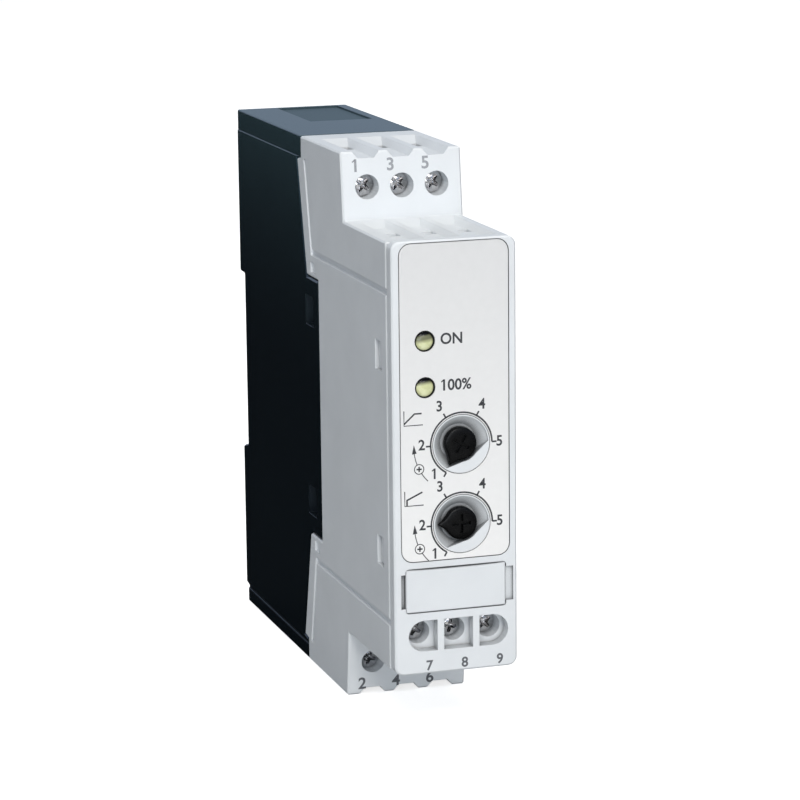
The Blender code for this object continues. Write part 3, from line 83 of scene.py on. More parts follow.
class Hue(Enum):
    """The colours of the device, as linear red, green and blue."""

    PALE = (0.77, 0.795, 0.815)
    DARK = (0.0022, 0.0042, 0.0060)
    FILM = (0.89, 0.885, 0.875)
    INK = (0.035, 0.036, 0.040)
    GREY_INK = (0.30, 0.31, 0.33)
    SLATE_INK = (0.115, 0.12, 0.13)
    KNOB = (0.0012, 0.0012, 0.0013)
    LENS = (0.66, 0.68, 0.38)
    BLACK = (0.006, 0.006, 0.007)
    ZINC = (0.86, 0.85, 0.86)
    SHEET = (0.66, 0.66, 0.65)
    TIN = (0.72, 0.70, 0.66)
    MASK = (0.012, 0.085, 0.040)
    ALUMINIUM = (0.74, 0.75, 0.77)
    RELAY = (0.010, 0.018, 0.040)
    VARISTOR = (0.015, 0.10, 0.32)
    TRIMMER = (0.22, 0.23, 0.25)
    WIRE = (0.58, 0.59, 0.61)


class End(Enum):
    """The two ends of the housing, as the sign of their direction along Z."""

    TOP = 1
    BOTTOM = -1


# Shader graphs


class Shade:
    """A value inside a material, with plain arithmetic."""

    def __init__(self, graph: "Graph", socket: bpy.types.NodeSocket) -> None:
        """Keeps the socket that carries the value.

        Args:
            graph: The graph that new nodes go in.
            socket: The output socket of the value.
        """
        self.graph = graph
        self.socket = socket

    def _math(self, operation: str, first: "Operand", second: "Operand" = 0.0) -> "Shade":
        """Adds one node of arithmetic."""
        return self.graph.add("ShaderNodeMath", {"operation": operation}, {0: first, 1: second})

    def __add__(self, other: "Operand") -> "Shade":
        """Sum of this value and another."""
        return self._math("ADD", self, other)

    __radd__ = __add__

    def __sub__(self, other: "Operand") -> "Shade":
        """Difference of this value and another."""
        return self._math("SUBTRACT", self, other)

    def __rsub__(self, other: "Operand") -> "Shade":
        """Difference of another value and this one."""
        return self._math("SUBTRACT", other, self)

    def __mul__(self, other: "Operand") -> "Shade":
        """Product of this value and another."""
        return self._math("MULTIPLY", self, other)

    __rmul__ = __mul__

    def __truediv__(self, other: "Operand") -> "Shade":
        """Quotient of this value and another."""
        return self._math("DIVIDE", self, other)

    def __pow__(self, other: "Operand") -> "Shade":
        """This value to a power."""
        return self._math("POWER", self, other)

    def sine(self) -> "Shade":
        """The sine of this value."""
        return self._math("SINE", self)

    def above(self, level: "Operand") -> "Shade":
        """One where this value is greater than a level, else zero."""
        return self._math("GREATER_THAN", self, level)

    def below(self, level: "Operand") -> "Shade":
        """One where this value is less than a level, else zero."""
        return self._math("LESS_THAN", self, level)

    def ramp(self, low: float, high: float, start: float = 0.0, end: float = 1.0) -> "Shade":
        """Maps this value's range from low to high on start to end, clamped."""
        inputs = {"Value": self, "From Min": low, "From Max": high, "To Min": start, "To Max": end}
        return self.graph.add("ShaderNodeMapRange", {"clamp": True}, inputs)


Operand = Shade | float | int | Sequence[float]


class Graph:
    """The node graph of one material or world."""

    def __init__(self, name: str, world: bool = False) -> None:
        """Makes an empty material or world.

        Args:
            name: Its name.
            world: Whether it is a world.
        """
        self.owner = bpy.data.worlds.new(name) if world else bpy.data.materials.new(name)
        self.owner.use_nodes = True
        self.tree = self.owner.node_tree
        self.tree.nodes.clear()

    def add(
        self,
        kind: str,
        settings: dict[str, object] | None = None,
        inputs: dict[str | int, Operand] | None = None,
        output: str | int = 0,
    ) -> Shade:
        """Adds any node.

        Args:
            kind: The node's type.
            settings: Values for its properties.
            inputs: Values or shades for its input sockets, by name or number.
            output: The output that is returned, by name or number.

        Returns:
            The chosen output.
        """
        node = self.tree.nodes.new(kind)
        for key, value in (settings or {}).items():
            setattr(node, key, value)
        for key, value in (inputs or {}).items():
            if isinstance(value, Shade):
                self.tree.links.new(value.socket, node.inputs[key])
            else:
                node.inputs[key].default_value = value
        return Shade(self, node.outputs[output]) if node.outputs else Shade(self, node.inputs[0])

    def place(self) -> Shade:
        """The place on the piece, in metres."""
        return self.add("ShaderNodeTexCoord", output="Object")

    def noise(self, scale: float, detail: float = 2.0, roughness: float = 0.5) -> Shade:
        """Fractal noise about 0.5, with so many cells in each metre."""
        inputs = {"Vector": self.place(), "Scale": scale, "Detail": detail, "Roughness": roughness}
        return self.add("ShaderNodeTexNoise", {}, inputs)

    def blend(self, factor: Operand, first: Operand, second: Operand, mode: str = "MIX") -> Shade:
        """Mixes a share of the second colour into the first."""
        settings = {"data_type": "RGBA", "blend_type": mode, "clamp_result": True}
        return self.add("ShaderNodeMix", settings, {0: factor, 6: first, 7: second}, output=2)

    def shaded(self, colour: Operand, level: Shade) -> Shade:
        """A colour times a level."""
        grey = self.add("ShaderNodeCombineColor", {}, {0: level, 1: level, 2: level})
        return self.blend(1.0, colour, grey, "MULTIPLY")

    def axis(self, name: str) -> Shade:
        """One coordinate of the place, in metres."""
        return self.add("ShaderNodeSeparateXYZ", {}, {"Vector": self.place()}, output=name)

    def edge(self, radius: float) -> Shade:
        """A normal that rounds sharp edges by a radius in metres."""
        return self.add("ShaderNodeBevel", {"samples": 4}, {"Radius": radius})

    def bump(self, height: Shade, distance: float, normal: Shade | None = None) -> Shade:
        """A bumped normal.

        Args:
            height: The height from 0 to 1.
            distance: What a height of 1 stands for, in metres.
            normal: The normal under the bumps.

        Returns:
            The normal.
        """
        inputs: dict[str | int, Operand] = {"Height": height, "Distance": distance, "Strength": 1.0}
        if normal is not None:
            inputs["Normal"] = normal
        return self.add("ShaderNodeBump", {}, inputs)

    def finish(self, inputs: dict[str | int, Operand]) -> bpy.types.Material:
        """Ends the graph in a surface.

        Args:
            inputs: Values for the surface shader.

        Returns:
            The material.
        """
        surface = self.add("ShaderNodeBsdfPrincipled", {}, inputs)
        self.add("ShaderNodeOutputMaterial", {}, {"Surface": surface})
        return self.owner


def solid(hue: Hue | Colour) -> tuple[float, float, float, float]:
    """A named or plain colour with full alpha."""
    red, green, blue = hue.value if isinstance(hue, Hue) else hue
    return (red, green, blue, 1.0)


# Finishes


@dataclass(frozen=True)
class MouldedPlastic:
    """Spark-eroded moulded plastic, with a fine grain, soft edges and, where asked for, painted shade in its
    recesses.
    """

    name: str
    hue: Hue
    roughness: float = 0.42
    grain: float = 2600.0
    depth: float = 0.010 * MM
    edge: float = 0.18 * MM
    unevenness: float = 0.03
    specular: float = 0.5
    tint: Colour = (1.0, 1.0, 1.0)
    gloss_spread: float = 0.06
    painted_shade_reach: float = 0.0
    painted_shade_tone: float = 0.45

    def build(self) -> bpy.types.Material:
        """Makes the material.

        Returns:
            The material.
        """
        graph = Graph(self.name)
        clouds = graph.noise(90.0, 3.0)
        grain = graph.noise(self.grain, 3.0, 0.65)
        shade = clouds.ramp(0.3, 0.7, 1.0 - self.unevenness, 1.0 + self.unevenness)
        # Painted shade: ambient occlusion darkens the colour in recesses, grooves and round the knobs.
        if self.painted_shade_reach > 0.0:
            open_share = graph.add(
                "ShaderNodeAmbientOcclusion", {"samples": 8}, {"Distance": self.painted_shade_reach}, output="AO")
            shade = shade * open_share.ramp(0.25, 0.92, self.painted_shade_tone, 1.0)
        return graph.finish({
            "Base Color": self.tone(graph, shade), "Roughness": self.gloss(graph, grain),
            "Normal": graph.bump(grain, self.depth, graph.edge(self.edge)),
            "Specular IOR Level": self.specular, "Specular Tint": (*self.tint, 1.0),
        })

    def tone(self, graph: Graph, shade: Shade) -> Shade:
        """The colour, a little uneven."""
        return graph.shaded(solid(self.hue), shade)

    def gloss(self, graph: Graph, grain: Shade) -> Shade:
        """The roughness, a little uneven."""
        low, high = self.roughness - self.gloss_spread, self.roughness + self.gloss_spread
        return grain.ramp(0.35, 0.65, low, high)


@dataclass(frozen=True)
class CasePlastic(MouldedPlastic):
    """The dark case's plastic: painted sheen makes it greyer towards the top; smoother on its sides, duller
    in its pocket.
    """

    # Painted sheen: the top of the case is coloured greyer in place of its reflection of the light.
    painted_sheen_hue: Colour = (0.030, 0.056, 0.064)
    painted_light_span: Point = (48.0 * MM, 100.0 * MM)
    painted_light_power: float = 2.5
    flank: float = 11.0 * MM
    flank_gloss: float = -0.14
    pocket: tuple[float, float, float, float] = (-3.35 * MM, 9.05 * MM, 25.2 * MM, 48.9 * MM)
    pocket_levels: Point = (99.5 * MM, 99.8 * MM)
    pocket_gloss: float = 0.17

    def tone(self, graph: Graph, shade: Shade) -> Shade:
        """The colour, with painted sheen that rises to a greyer one towards the top."""
        painted_sheen_rise = graph.axis("Z").ramp(*self.painted_light_span) ** self.painted_light_power
        return graph.shaded(graph.blend(painted_sheen_rise, solid(self.hue), solid(self.painted_sheen_hue)), shade)

    def gloss(self, graph: Graph, grain: Shade) -> Shade:
        """The roughness, lower on the flanks and higher in the pocket.

        Args:
            graph: The material's graph.
            grain: The fine noise.

        Returns:
            The roughness.
        """
        across, along, level = (graph.axis(name) for name in "XYZ")
        left, right, near, far = self.pocket
        low, high = self.pocket_levels
        pocket = across.above(left) * across.below(right) * along.above(near) * along.below(far)
        pocket = pocket * level.above(low) * level.below(high)
        flank = (across * across).above(self.flank ** 2)
        return super().gloss(graph, grain) + flank * self.flank_gloss + pocket * self.pocket_gloss


@dataclass(frozen=True)
class Film:
    """Printed polyester film with a faint orange peel, with painted shade making it a little greyer towards
    the top.
    """

    name: str = "label_film"
    hue: Hue = Hue.FILM
    painted_shade_top_hue: Colour = (0.73, 0.73, 0.73)
    painted_light_span: Point = (32.0 * MM, 88.0 * MM)
    roughness: float = 0.38

    def build(self) -> bpy.types.Material:
        """Makes the material.

        Returns:
            The material.
        """
        graph = Graph(self.name)
        peel = graph.noise(700.0, 2.0)
        fine = graph.noise(5200.0, 2.0)
        # Painted shade: the label's colour is darkened towards its top.
        colour = graph.blend(graph.axis("Z").ramp(*self.painted_light_span), solid(self.hue), solid(self.painted_shade_top_hue))
        colour = graph.shaded(colour, peel.ramp(0.3, 0.7, 0.99, 1.01))
        rough = fine.ramp(0.3, 0.7, self.roughness - 0.04, self.roughness + 0.05)
        normal = graph.bump(peel * 0.7 + fine * 0.3, 0.006 * MM, graph.edge(0.06 * MM))
        return graph.finish({"Base Color": colour, "Roughness": rough, "Normal": normal})


@dataclass(frozen=True)
class Ink:
    """Pad-printed ink, a little uneven."""

    name: str
    hue: Hue
    roughness: float = 0.45

    def build(self) -> bpy.types.Material:
        """Makes the material.

        Returns:
            The material.
        """
        graph = Graph(self.name)
        speck = graph.noise(4200.0, 3.0)
        red, green, blue = self.hue.value
        pale = (red * 1.35, green * 1.35, blue * 1.35, 1.0)
        colour = graph.blend(speck.ramp(0.45, 0.8), solid(self.hue), pale)
        rough = speck.ramp(0.3, 0.7, self.roughness - 0.06, self.roughness + 0.06)
        return graph.finish({"Base Color": colour, "Roughness": rough})


@dataclass(frozen=True)
class Metal:
    """Plated, drawn or milled metal."""

    name: str
    hue: Hue
    roughness: float = 0.22
    lines: tuple[float, float, float] = (1.0, 1.0, 1.0)
    scale: float = 1500.0
    depth: float = 0.004 * MM
    stain: float = 0.12
    edge: float = 0.06 * MM

    def build(self) -> bpy.types.Material:
        """Makes the material.

        Returns:
            The material.
        """
        graph = Graph(self.name)
        stretched = graph.add(
            "ShaderNodeMapping", {}, {"Vector": graph.place(), "Scale": self.lines})
        scratch = graph.add(
            "ShaderNodeTexNoise", {}, {"Vector": stretched, "Scale": self.scale, "Detail": 4.0})
        cloud = graph.noise(420.0, 3.0)
        red, green, blue = self.hue.value
        dull = (red * (1 - self.stain), green * (1 - self.stain), blue * (1 - 1.02 * self.stain), 1.0)
        colour = graph.blend(cloud.ramp(0.35, 0.7), solid(self.hue), dull)
        rough = (scratch * 0.6 + cloud * 0.4).ramp(0.3, 0.7, 0.75 * self.roughness, 1.4 * self.roughness)
        normal = graph.bump(scratch, self.depth, graph.edge(self.edge))
        return graph.finish({
            "Base Color": colour, "Roughness": rough, "Metallic": 1.0, "Normal": normal,
        })


@dataclass(frozen=True)
class Lens:
    """The diffuse lens of an unlit lamp, with the shade of its hole painted on its top."""

    name: str = "lamp_lens"
    hue: Hue = Hue.LENS
    core: Colour = (0.88, 0.90, 0.62)
    painted_shade_olive: Colour = (0.19, 0.195, 0.115)
    shade: Point = (-0.30 * MM, 0.40 * MM)
    painted_shadow: Point = (0.90 * MM, 1.20 * MM)

    def build(self) -> bpy.types.Material:
        """Makes the material.

        Returns:
            The material.
        """
        graph = Graph(self.name)
        haze = graph.noise(1300.0, 2.0)
        height = graph.axis("Z") - graph.axis("X") * 0.12
        bright = graph.blend(haze.ramp(0.45, 0.7, 0.0, 0.5), solid(self.hue), solid(self.core))
        # Painted shade and shadow: the top of the lens turns olive, then black, as if shaded by the hole's
        # edge.
        shaded = graph.blend(height.ramp(*self.shade), bright, solid(self.painted_shade_olive))
        colour = graph.blend(height.ramp(*self.painted_shadow), shaded, solid(Hue.BLACK))
        rough = haze.ramp(0.3, 0.7, 0.10, 0.18)
        return graph.finish({
            "Base Color": colour, "Roughness": rough, "Coat Weight": 0.15, "Coat Roughness": 0.05,
            "Specular IOR Level": 0.2,
        })


@dataclass(frozen=True)
class BoardMask:
    """Green solder mask with copper tracks under it and bare pads."""

    name: str = "board_green"
    hue: Hue = Hue.MASK

    def build(self) -> bpy.types.Material:
        """Makes the material.

        Returns:
            The material.
        """
        graph = Graph(self.name)
        cells = graph.add(
            "ShaderNodeTexVoronoi", {"distance": "MANHATTAN", "feature": "F1"},
            {"Vector": graph.place(), "Scale": 260.0}, output="Distance")
        wave = graph.add(
            "ShaderNodeTexBrick", {"offset": 0.5},
            {"Vector": graph.place(), "Scale": 240.0, "Mortar Size": 0.06}, output="Fac")
        track = (cells.above(0.38) + wave).ramp(0.0, 1.0)
        colour = graph.blend(track, solid(self.hue), solid((0.03, 0.16, 0.07)))
        normal = graph.bump(track, 0.03 * MM, graph.edge(0.08 * MM))
        rough = graph.noise(1500.0).ramp(0.3, 0.7, 0.25, 0.4)
        return graph.finish({"Base Color": colour, "Roughness": rough, "Normal": normal})


FINISHES = {
    # Both pale finishes paint shade into their recesses; the cover's copy paints it deeper and darker.
    "pale_housing": MouldedPlastic(
        "pale_housing", Hue.PALE, painted_shade_reach=1.2 * MM, painted_shade_tone=0.85),
    "pale_cover_painted_shade": MouldedPlastic("pale_cover_painted_shade", Hue.PALE, painted_shade_reach=2.8 * MM, painted_shade_tone=0.2),
    "dark_housing": CasePlastic(
        "dark_housing", Hue.DARK, roughness=0.37, depth=0.0015 * MM, gloss_spread=0.015,
        tint=(0.72, 0.86, 1.0)),
    "label_film": Film(),
    "black_knob": MouldedPlastic(
        "black_knob", Hue.KNOB, roughness=0.3, depth=0.004 * MM, edge=0.08 * MM, specular=0.16),
    # The two lens finishes differ only in how far down the painted shade of the hole reaches.
    "lamp_lens": Lens(),
    "lamp_lens_low": Lens("lamp_lens_low", shade=(0.45 * MM, 0.95 * MM)),
    "black_plastic": MouldedPlastic("black_plastic", Hue.BLACK, roughness=0.5, specular=0.3),
    "screw_zinc": Metal(
        "screw_zinc", Hue.ZINC, roughness=0.05, scale=1000.0, depth=0.09 * MM, stain=0.62),
    "clamp_steel": Metal("clamp_steel", Hue.SHEET, roughness=0.3, lines=(1.0, 0.1, 1.0)),
    "tinned_copper": Metal("tinned_copper", Hue.TIN, roughness=0.25, stain=0.2),
    "board_green": BoardMask(),
    "aluminium": Metal("aluminium", Hue.ALUMINIUM, roughness=0.32, lines=(1.0, 1.0, 0.05)),
    "relay_blue": MouldedPlastic("relay_blue", Hue.RELAY, roughness=0.35),
    "varistor_blue": MouldedPlastic(
        "varistor_blue", Hue.VARISTOR, roughness=0.22, grain=900.0, depth=0.03 * MM),
    "trimmer_grey": MouldedPlastic("trimmer_grey", Hue.TRIMMER, roughness=0.5),
    "spring_steel": Metal("spring_steel", Hue.WIRE, roughness=0.2),
    "dark_ink": Ink("dark_ink", Hue.INK),
    "grey_ink": Ink("grey_ink", Hue.GREY_INK),
    "slate_ink": Ink("slate_ink", Hue.SLATE_INK),
}


# Meshes


def new_object(name: str, bm: bmesh.types.BMesh, finish: bpy.types.Material) -> bpy.types.Object:
    """Makes an object from a bmesh, smooth but for its sharp edges.

    Args:
        name: The object's name.
        bm: The mesh, which is freed.
        finish: Its material.

    Returns:
        The object, in the scene.
    """
    bmesh.ops.recalc_face_normals(bm, faces=bm.faces)
    mesh = bpy.data.meshes.new(name)
    bm.to_mesh(mesh)
    bm.free()
    mesh.materials.append(finish)
    mesh.shade_smooth()
    mesh.set_sharp_from_angle(angle=SHARP_ANGLE)
    made = bpy.data.objects.new(name, mesh)
    bpy.context.scene.collection.objects.link(made)
    return made


def arc(centre: Point, radius: float, first: float, last: float, steps: int) -> list[Point]:
    """Points along an arc, both ends included, with its angles in degrees."""
    angles = [math.radians(first + (last - first) * i / steps) for i in range(steps + 1)]
    return [(centre[0] + radius * math.cos(a), centre[1] + radius * math.sin(a)) for a in angles]


def polar(centre: Point, radius: float, angle: float) -> Point:
    """The point at a distance and an angle in degrees from a centre."""
    return arc(centre, radius, angle, angle, 1)[0]


def turned(bm: bmesh.types.BMesh, profile: Iterable[Point], sides: int) -> None:
    """Adds a solid turned about Y.

    Args:
        bm: The mesh to add to.
        profile: Points of radius and place along Y, front to back.
        sides: The number of sides.
    """
    rings = []
    for radius, along in profile:
        if radius <= 0.0:
            rings.append([bm.verts.new((0.0, along, 0.0))])
        else:
            points = arc((0.0, 0.0), radius, 0.0, 360.0, sides)[:-1]
            rings.append([bm.verts.new((a, along, b)) for a, b in points])
    for near, far in zip(rings, rings[1:]):
        for i in range(sides):
            j = (i + 1) % sides
            if len(near) == 1:
                bm.faces.new((near[0], far[i], far[j]))
            elif len(far) == 1:
                bm.faces.new((near[i], near[j], far[0]))
            else:
                bm.faces.new((near[i], near[j], far[j], far[i]))


def loft(bm: bmesh.types.BMesh, rings: Sequence[Sequence[Sequence[float]]]) -> None:
    """Adds a closed solid through rings with the same number of points.

    Args:
        bm: The mesh to add to.
        rings: The rings of points.
    """
    made = [[bm.verts.new(point) for point in ring] for ring in rings]
    count = len(made[0])
    bm.faces.new(made[0])
    bm.faces.new(made[-1])
    for near, far in zip(made, made[1:]):
        for i in range(count):
            j = (i + 1) % count
            bm.faces.new((near[i], near[j], far[j], far[i]))


def carve(target: bpy.types.Object, cutter: bpy.types.Object) -> None:
    """Cuts one object out of another and removes the cutter.

    Args:
        target: The object that is cut.
        cutter: The object that cuts.
    """
    modifier = target.modifiers.new("cut", "BOOLEAN")
    modifier.operation = "DIFFERENCE"
    modifier.object = cutter
    modifier.solver = "EXACT"
    bpy.context.view_layer.update()
    graph = bpy.context.evaluated_depsgraph_get()
    mesh = bpy.data.meshes.new_from_object(target.evaluated_get(graph))
    target.modifiers.remove(modifier)
    target.data = mesh
    mesh.shade_smooth()
    mesh.set_sharp_from_angle(angle=SHARP_ANGLE)
    bpy.data.objects.remove(cutter)


# Print


@dataclass(frozen=True)
class Sheet:
    """A flat face that print goes on, with its own right and up."""

    origin: tuple[float, float, float]
    lean: float = 0.0
    lift: float = 0.008 * MM

    def matrix(self) -> Matrix:
        """The transform from the print's plane to the face, with the print's Z out of it."""
        turn = Matrix.Rotation(math.radians(90.0 + self.lean), 4, "X")
        return Matrix.Translation(Vector(self.origin)) @ turn @ Matrix.Translation((0, 0, self.lift))


class Printer:
    """Draws thin marks on a face: lettering, lines, arcs and filled outlines."""

    def __init__(self, sheet: Sheet, finish: bpy.types.Material) -> None:
        """Keeps the face and the ink, and starts without marks.

        Args:
            sheet: The face.
            finish: The ink.
        """
        self.sheet = sheet
        self.finish = finish
        self.bm = bmesh.new()

    def fill(self, outline: Sequence[Point]) -> None:
        """A filled outline."""
        self.bm.faces.new([self.bm.verts.new((a, b, 0.0)) for a, b in outline])

    def line(self, points: Sequence[Point], width: float) -> None:
        """A line of even width.

        Args:
            points: The points that it follows.
            width: Its width.
        """
        left, right = [], []
        for i, (a, b) in enumerate(points):
            before = Vector(points[max(i - 1, 0)])
            after = Vector(points[min(i + 1, len(points) - 1)])
            along = (after - before).normalized() * width / 2
            left.append(self.bm.verts.new((a - along.y, b + along.x, 0.0)))
            right.append(self.bm.verts.new((a + along.y, b - along.x, 0.0)))
        for i in range(len(points) - 1):
            self.bm.faces.new((left[i], right[i], right[i + 1], left[i + 1]))

    def text(
        self, words: str, place: Point, height: float, stretch: float = 1.0, start: bool = False,
    ) -> None:
        """Plain lettering.

        Args:
            words: What it says.
            place: Its middle, or the left end of its foot.
            height: The height of a capital.
            stretch: Width against the type's own.
            start: Whether the place is the left end.
        """
        curve = bpy.data.curves.new("lettering", "FONT")
        curve.body = words
        curve.align_x = "LEFT" if start else "CENTER"
        curve.align_y = "BOTTOM_BASELINE" if start else "CENTER"
        curve.size = height / 0.72
        curve.offset = 0.030 * height
        curve.resolution_u = 4
        made = bpy.data.objects.new("lettering", curve)
        bpy.context.scene.collection.objects.link(made)
        bpy.context.view_layer.update()
        graph = bpy.context.evaluated_depsgraph_get()
        mesh = bpy.data.meshes.new_from_object(made.evaluated_get(graph))
        mesh.transform(Matrix.Translation((*place, 0.0)) @ Matrix.Diagonal((stretch, 1.0, 1.0, 1.0)))
        if words.startswith("1"):
            stem = min(v.co.x for v in mesh.vertices)
            top = max(v.co.y for v in mesh.vertices)
            flag = [(stem + 0.09 * height, top - 0.04 * height), (stem - 0.17 * height, top - 0.24 * height)]
            self.line(flag, 0.11 * height)
        self.bm.from_mesh(mesh)
        bpy.data.objects.remove(made)
        bpy.data.meshes.remove(mesh)

    def done(self, name: str, body: str = "housing") -> bpy.types.Object:
        """Puts the marks on their face.

        Args:
            name: The name of the piece.
            body: The body that it moves with.

        Returns:
            The piece.
        """
        self.bm.transform(self.sheet.matrix())
        made = new_object(name, self.bm, self.finish)
        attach(made, body)
        return made


@dataclass(frozen=True)
class TerminalMarks:
    """Plain numbers beside the terminals."""

    pitch: float = 6.5025 * MM
    height: float = 2.25 * MM
    left: float = 2.0 * MM
    step_front: float = 28.0 * MM
    step_back: float = 29.4 * MM
    step_height: float = 12.2 * MM
    levels: tuple[float, float] = (2.6 * MM, 2.0 * MM)
    control_level: float = 13.2 * MM
    control_shift: float = 1.5 * MM
    control_height: float = 1.8 * MM

    def build(self, pale: bpy.types.Material, dark: bpy.types.Material) -> None:
        """Prints all three rows.

        Args:
            pale: The ink of the line terminals.
            dark: The ink of the others.
        """
        slope = (self.step_back - self.step_front) / self.step_height
        rows = ((End.TOP, "line", 1, pale), (End.BOTTOM, "load", 2, dark))
        for (end, row, first, ink), inset in zip(rows, self.levels):
            depth = self.step_back - slope * inset
            z = HEIGHT - inset if end is End.TOP else inset
            lean = -math.degrees(math.atan(slope)) * end.value
            printer = Printer(Sheet((0.0, FRONT + depth, z), lean), ink)
            for place in range(3):
                x = (place - 1) * self.pitch - self.left
                printer.text(str(first + 2 * place), (x, 0.0), self.height)
            printer.done(f"{row}_numbers")
        printer = Printer(Sheet((0.0, FRONT, self.control_level)), dark)
        for place in range(3):
            x = (place - 1) * self.pitch + self.control_shift
            printer.text(str(7 + place), (x, 0.0), self.control_height)
        printer.done("control_numbers")


@dataclass(frozen=True)
class DialPrint:
    """The scale round one dial: an arc, ticks, numbers and the turning sign."""

    name: str
    x: float
    z: float
    radius: float = 5.58 * MM
    first: float = 240.0
    last: float = 0.0
    tick: float = 0.85 * MM
    line: float = 0.3 * MM
    number: float = 1.85 * MM
    numbers: tuple[Point, ...] = ((-4.9, -5.0), (-7.2, 0.25), (-3.95, 6.85), (3.8, 6.75), (6.95, 0.0))
    hub: Point = (-7.7, -3.9)
    ring: float = 0.85
    arrow: Point = (-8.65, 0.45)
    tail: Point = (-5.5, -5.5)

    def at(self, place: Point) -> Point:
        """A place on the label from its offset in millimetres from the dial's centre."""
        return (self.x + place[0] * MM, self.z + place[1] * MM)

    def build(self, printer: Printer) -> None:
        """Prints the scale.

        Args:
            printer: What it is printed with.
        """
        centre = (self.x, self.z)
        printer.line(arc(centre, self.radius, self.first, self.last, 60), self.line)
        for i, place in enumerate(self.numbers):
            angle = self.first + (self.last - self.first) * i / (len(self.numbers) - 1)
            ends = [polar(centre, radius, angle) for radius in (self.radius, self.radius + self.tick)]
            printer.line(ends, self.line)
            printer.text(str(i + 1), self.at(place), self.number, 0.95)
        self.turning_sign(printer)

    def turning_sign(self, printer: Printer) -> None:
        """A small cross screw with an arrow that says which way is more.

        Args:
            printer: What it is printed with.
        """
        hub, thin = self.at(self.hub), 0.16 * MM
        printer.line(arc(hub, self.ring * MM, 0.0, 360.0, 28), thin)
        arm = 0.48 * MM
        for a, b in ((arm, 0.0), (0.0, arm)):
            printer.line([(hub[0] - a, hub[1] - b), (hub[0] + a, hub[1] + b)], 0.26 * MM)
        start = math.atan2(self.hub[1], self.hub[0]) % math.tau
        reach = math.hypot(*self.hub) * MM
        side = math.degrees(self.ring * MM / reach)
        middle = math.degrees(start)
        tip = math.degrees(math.atan2(self.arrow[1], self.arrow[0])) % 360.0
        tail = math.degrees(math.atan2(self.tail[1], self.tail[0])) % 360.0
        foot = tip + math.degrees(1.6 * MM / reach)
        centre = (self.x, self.z)
        printer.line(arc(centre, reach, middle + side, tail, 6), thin)
        printer.line(arc(centre, reach, middle - side, foot, 4), thin)
        half = 0.42 * MM
        left, right = (polar(centre, radius, foot) for radius in (reach - half, reach + half))
        printer.fill([left, right, polar(centre, reach, tip)])


@dataclass(frozen=True)
class FacePrint:
    """All that is printed on the face label."""

    depth: float = 0.05 * MM
    lamp_text: float = -2.55 * MM
    lamp_levels: tuple[float, float] = (71.1 * MM, 63.0 * MM)
    height: float = 1.95 * MM
    sign: Point = (-10.35, 3.9)
    dials: tuple[DialPrint, ...] = (
        DialPrint("start_time", 1.15 * MM, 52.35 * MM),
        DialPrint("initial_voltage", 1.15 * MM, 38.2 * MM),
    )

    def build(self, finish: bpy.types.Material) -> None:
        """Prints the label.

        Args:
            finish: The ink.
        """
        printer = Printer(Sheet((0.0, FRONT + self.depth, 0.0)), finish)
        for dial in self.dials:
            dial.build(printer)
        for words, z in zip(("ON", "100%"), self.lamp_levels):
            printer.text(words, (self.lamp_text, z - self.height / 2), self.height, 0.95, start=True)
        slow, low = (dial.at(self.sign) for dial in self.dials)
        self.ramp_sign(printer, slow)
        self.step_sign(printer, low)
        printer.done("face_print")

    def axes(self, printer: Printer, corner: Point) -> float:
        """Two thin axes.

        Args:
            printer: What they are printed with.
            corner: Where they meet.

        Returns:
            The width of their lines.
        """
        a, b = corner
        thin = 0.18 * MM
        printer.line([(a, b + 2.6 * MM), (a, b), (a + 3.4 * MM, b)], thin)
        return thin

    def ramp_sign(self, printer: Printer, corner: Point) -> None:
        """A line that rises slowly: how long the start takes.

        Args:
            printer: What it is printed with.
            corner: The corner of the axes.
        """
        thin = self.axes(printer, corner)
        a, b = corner
        bold = [(a, b + 0.3 * MM), (a + 1.9 * MM, b + 2.0 * MM), (a + 3.2 * MM, b + 2.0 * MM)]
        printer.line(bold, 1.6 * thin)

    def step_sign(self, printer: Printer, corner: Point) -> None:
        """A line that starts with a step: the voltage that the start begins with.

        Args:
            printer: What it is printed with.
            corner: The corner of the axes.
        """
        thin = self.axes(printer, corner)
        a, b = corner
        printer.line([(a + 0.4 * MM, b), (a + 0.4 * MM, b + 1.0 * MM)], 1.6 * thin)
        printer.line([(a + 0.3 * MM, b + 1.0 * MM), (a + 3.2 * MM, b + 2.3 * MM)], 1.6 * thin)


# Moving pieces


